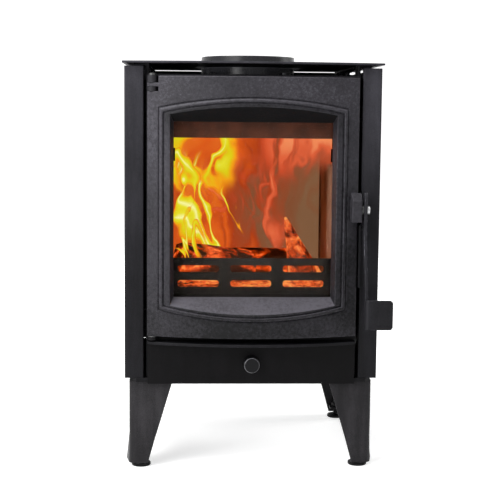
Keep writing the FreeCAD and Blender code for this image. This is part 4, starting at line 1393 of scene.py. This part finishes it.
@dataclass
class Studio:
    """Paper sweep, lights and camera, with its angles in degrees and its lens in millimetres."""

    eye: Point = (-0.09045, -2.04358, 0.5596)
    yaw: float = 2.66
    pitch: float = 6.52
    roll: float = 0.56
    focal: float = 87.84
    sensor: float = 36.0
    sweep_size: float = 14.0
    sweep_back: float = 6.0
    sweep_height: float = 7.0
    cove: float = 2.0
    cove_cuts: int = 16
    tolerance: float = 1e-4
    ambient: float = 0.14
    aim: Point = (0.0, 0.0, 0.35)
    lamps: Tuple[Lamp, ...] = (
        Lamp("softbox_left", (-1.8, -1.5, 1.5), (0.9, 1.2), 34.0),
        Lamp("softbox_right", (2.2, 0.5, 1.4), (0.9, 1.2), 26.0),
        Lamp("softbox_rear", (-0.5, 2.6, 1.5), (1.2, 1.2), 34.0),
        Lamp("softbox_front", (-1.6, -2.7, 1.9), (1.5, 1.1), 16.0),
        Lamp("softbox_low", (-1.6, -2.7, 0.58), (1.0, 0.25), 12.0),
        Lamp("softbox_top", (-0.65, -0.55, 2.25), (1.6, 1.3), 62.0),
    )

    def build(self) -> None:
        """Make the whole studio."""
        self._sweep()
        self._surround()
        self._lights()
        self._camera()

    def _sweep(self) -> None:
        """Make the floor, turned up behind the stove through a wide cove."""
        bpy.ops.object.select_all(action="DESELECT")
        middle = (0.0, self.sweep_back - self.sweep_size / 2, 0.0)
        bpy.ops.mesh.primitive_plane_add(size=self.sweep_size, location=middle)
        piece = fresh("studio_sweep")
        only(piece)
        bpy.ops.object.transform_apply(location=True, rotation=True, scale=True)
        self._pick_back_edge(piece)
        upward = {"value": (0.0, 0.0, self.sweep_height)}
        bpy.ops.mesh.extrude_region_move(TRANSFORM_OT_translate=upward)
        bpy.ops.object.mode_set(mode="OBJECT")
        self._pick_back_edge(piece)
        bpy.ops.mesh.bevel(offset=self.cove, segments=self.cove_cuts)
        bpy.ops.object.mode_set(mode="OBJECT")
        bpy.ops.object.shade_smooth()
        settle(piece, Paper("paper_sweep").make(), None)

    def _pick_back_edge(self, piece: bpy.types.Object) -> None:
        """Enter edit mode with the edge at the back of the floor selected.

        Args:
            piece: The sweep.
        """
        mesh, near = piece.data, self.tolerance
        back = {v.index for v in mesh.vertices
                if abs(v.co.y - self.sweep_back) < near and abs(v.co.z) < near}
        bpy.ops.object.mode_set(mode="EDIT")
        bpy.ops.mesh.select_mode(type="EDGE")
        bpy.ops.mesh.select_all(action="DESELECT")
        bpy.ops.object.mode_set(mode="OBJECT")
        for edge in mesh.edges:
            edge.select = set(edge.vertices) <= back
        bpy.ops.object.mode_set(mode="EDIT")

    def _surround(self) -> None:
        """Make a surround that is white to look at and dim as a light."""
        world = bpy.data.worlds.new("studio_world")
        world.use_nodes = True
        sky = Nodes(world.node_tree, "Background")
        sky.feed("Color", (*WHITE, 1.0))
        sky.feed("Strength", self.ambient + (1.0 - self.ambient) * sky.seen())
        bpy.context.scene.world = world

    def _lights(self) -> None:
        """Make the soft boxes."""
        for lamp in self.lamps:
            data = bpy.data.lights.new(lamp.name, "AREA")
            data.shape = "RECTANGLE"
            data.size, data.size_y = lamp.size
            data.energy = lamp.power
            box = bpy.data.objects.new(lamp.name, data)
            bpy.context.scene.collection.objects.link(box)
            box.location = lamp.place
            toward = Vector(self.aim) - Vector(lamp.place)
            box.rotation_euler = toward.to_track_quat("-Z", "Y").to_euler()
            LOG.info("light %s", lamp.name)

    def _camera(self) -> None:
        """Set the camera at the photo's viewing angle."""
        yaw, pitch, roll = (math.radians(angle) for angle in (self.yaw, self.pitch, self.roll))
        reach = math.cos(pitch)
        ahead = Vector((math.sin(yaw) * reach, math.cos(yaw) * reach, -math.sin(pitch)))
        level = Vector((math.cos(yaw), -math.sin(yaw), 0.0))
        upright = level.cross(ahead)
        right = level * math.cos(roll) + upright * math.sin(roll)
        up = upright * math.cos(roll) - level * math.sin(roll)
        data = bpy.data.cameras.new("camera")
        data.sensor_width = self.sensor
        data.lens = self.focal
        camera = bpy.data.objects.new("camera", data)
        bpy.context.scene.collection.objects.link(camera)
        turn = Matrix((right, up, -ahead)).transposed().to_4x4()
        camera.matrix_world = Matrix.Translation(Vector(self.eye)) @ turn
        bpy.context.scene.camera = camera
        bpy.context.scene.view_settings.view_transform = "Standard"


def main() -> None:
    """Build the looks."""
    logging.basicConfig(level=logging.INFO, format="%(name)s: %(message)s")
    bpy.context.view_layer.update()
    dressed = []
    for group in (Casing(), Firebox(), Flue(), Door(), Latch(), AirControl(), Stand()):
        dressed += group.dress()
    bare = set(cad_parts) - set(dressed)
    if bare:
        raise RuntimeError(f"no finish for {sorted(bare)}")
    HearthFire().build()
    Studio().build()
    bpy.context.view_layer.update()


if __name__ == "__main__":
    main()
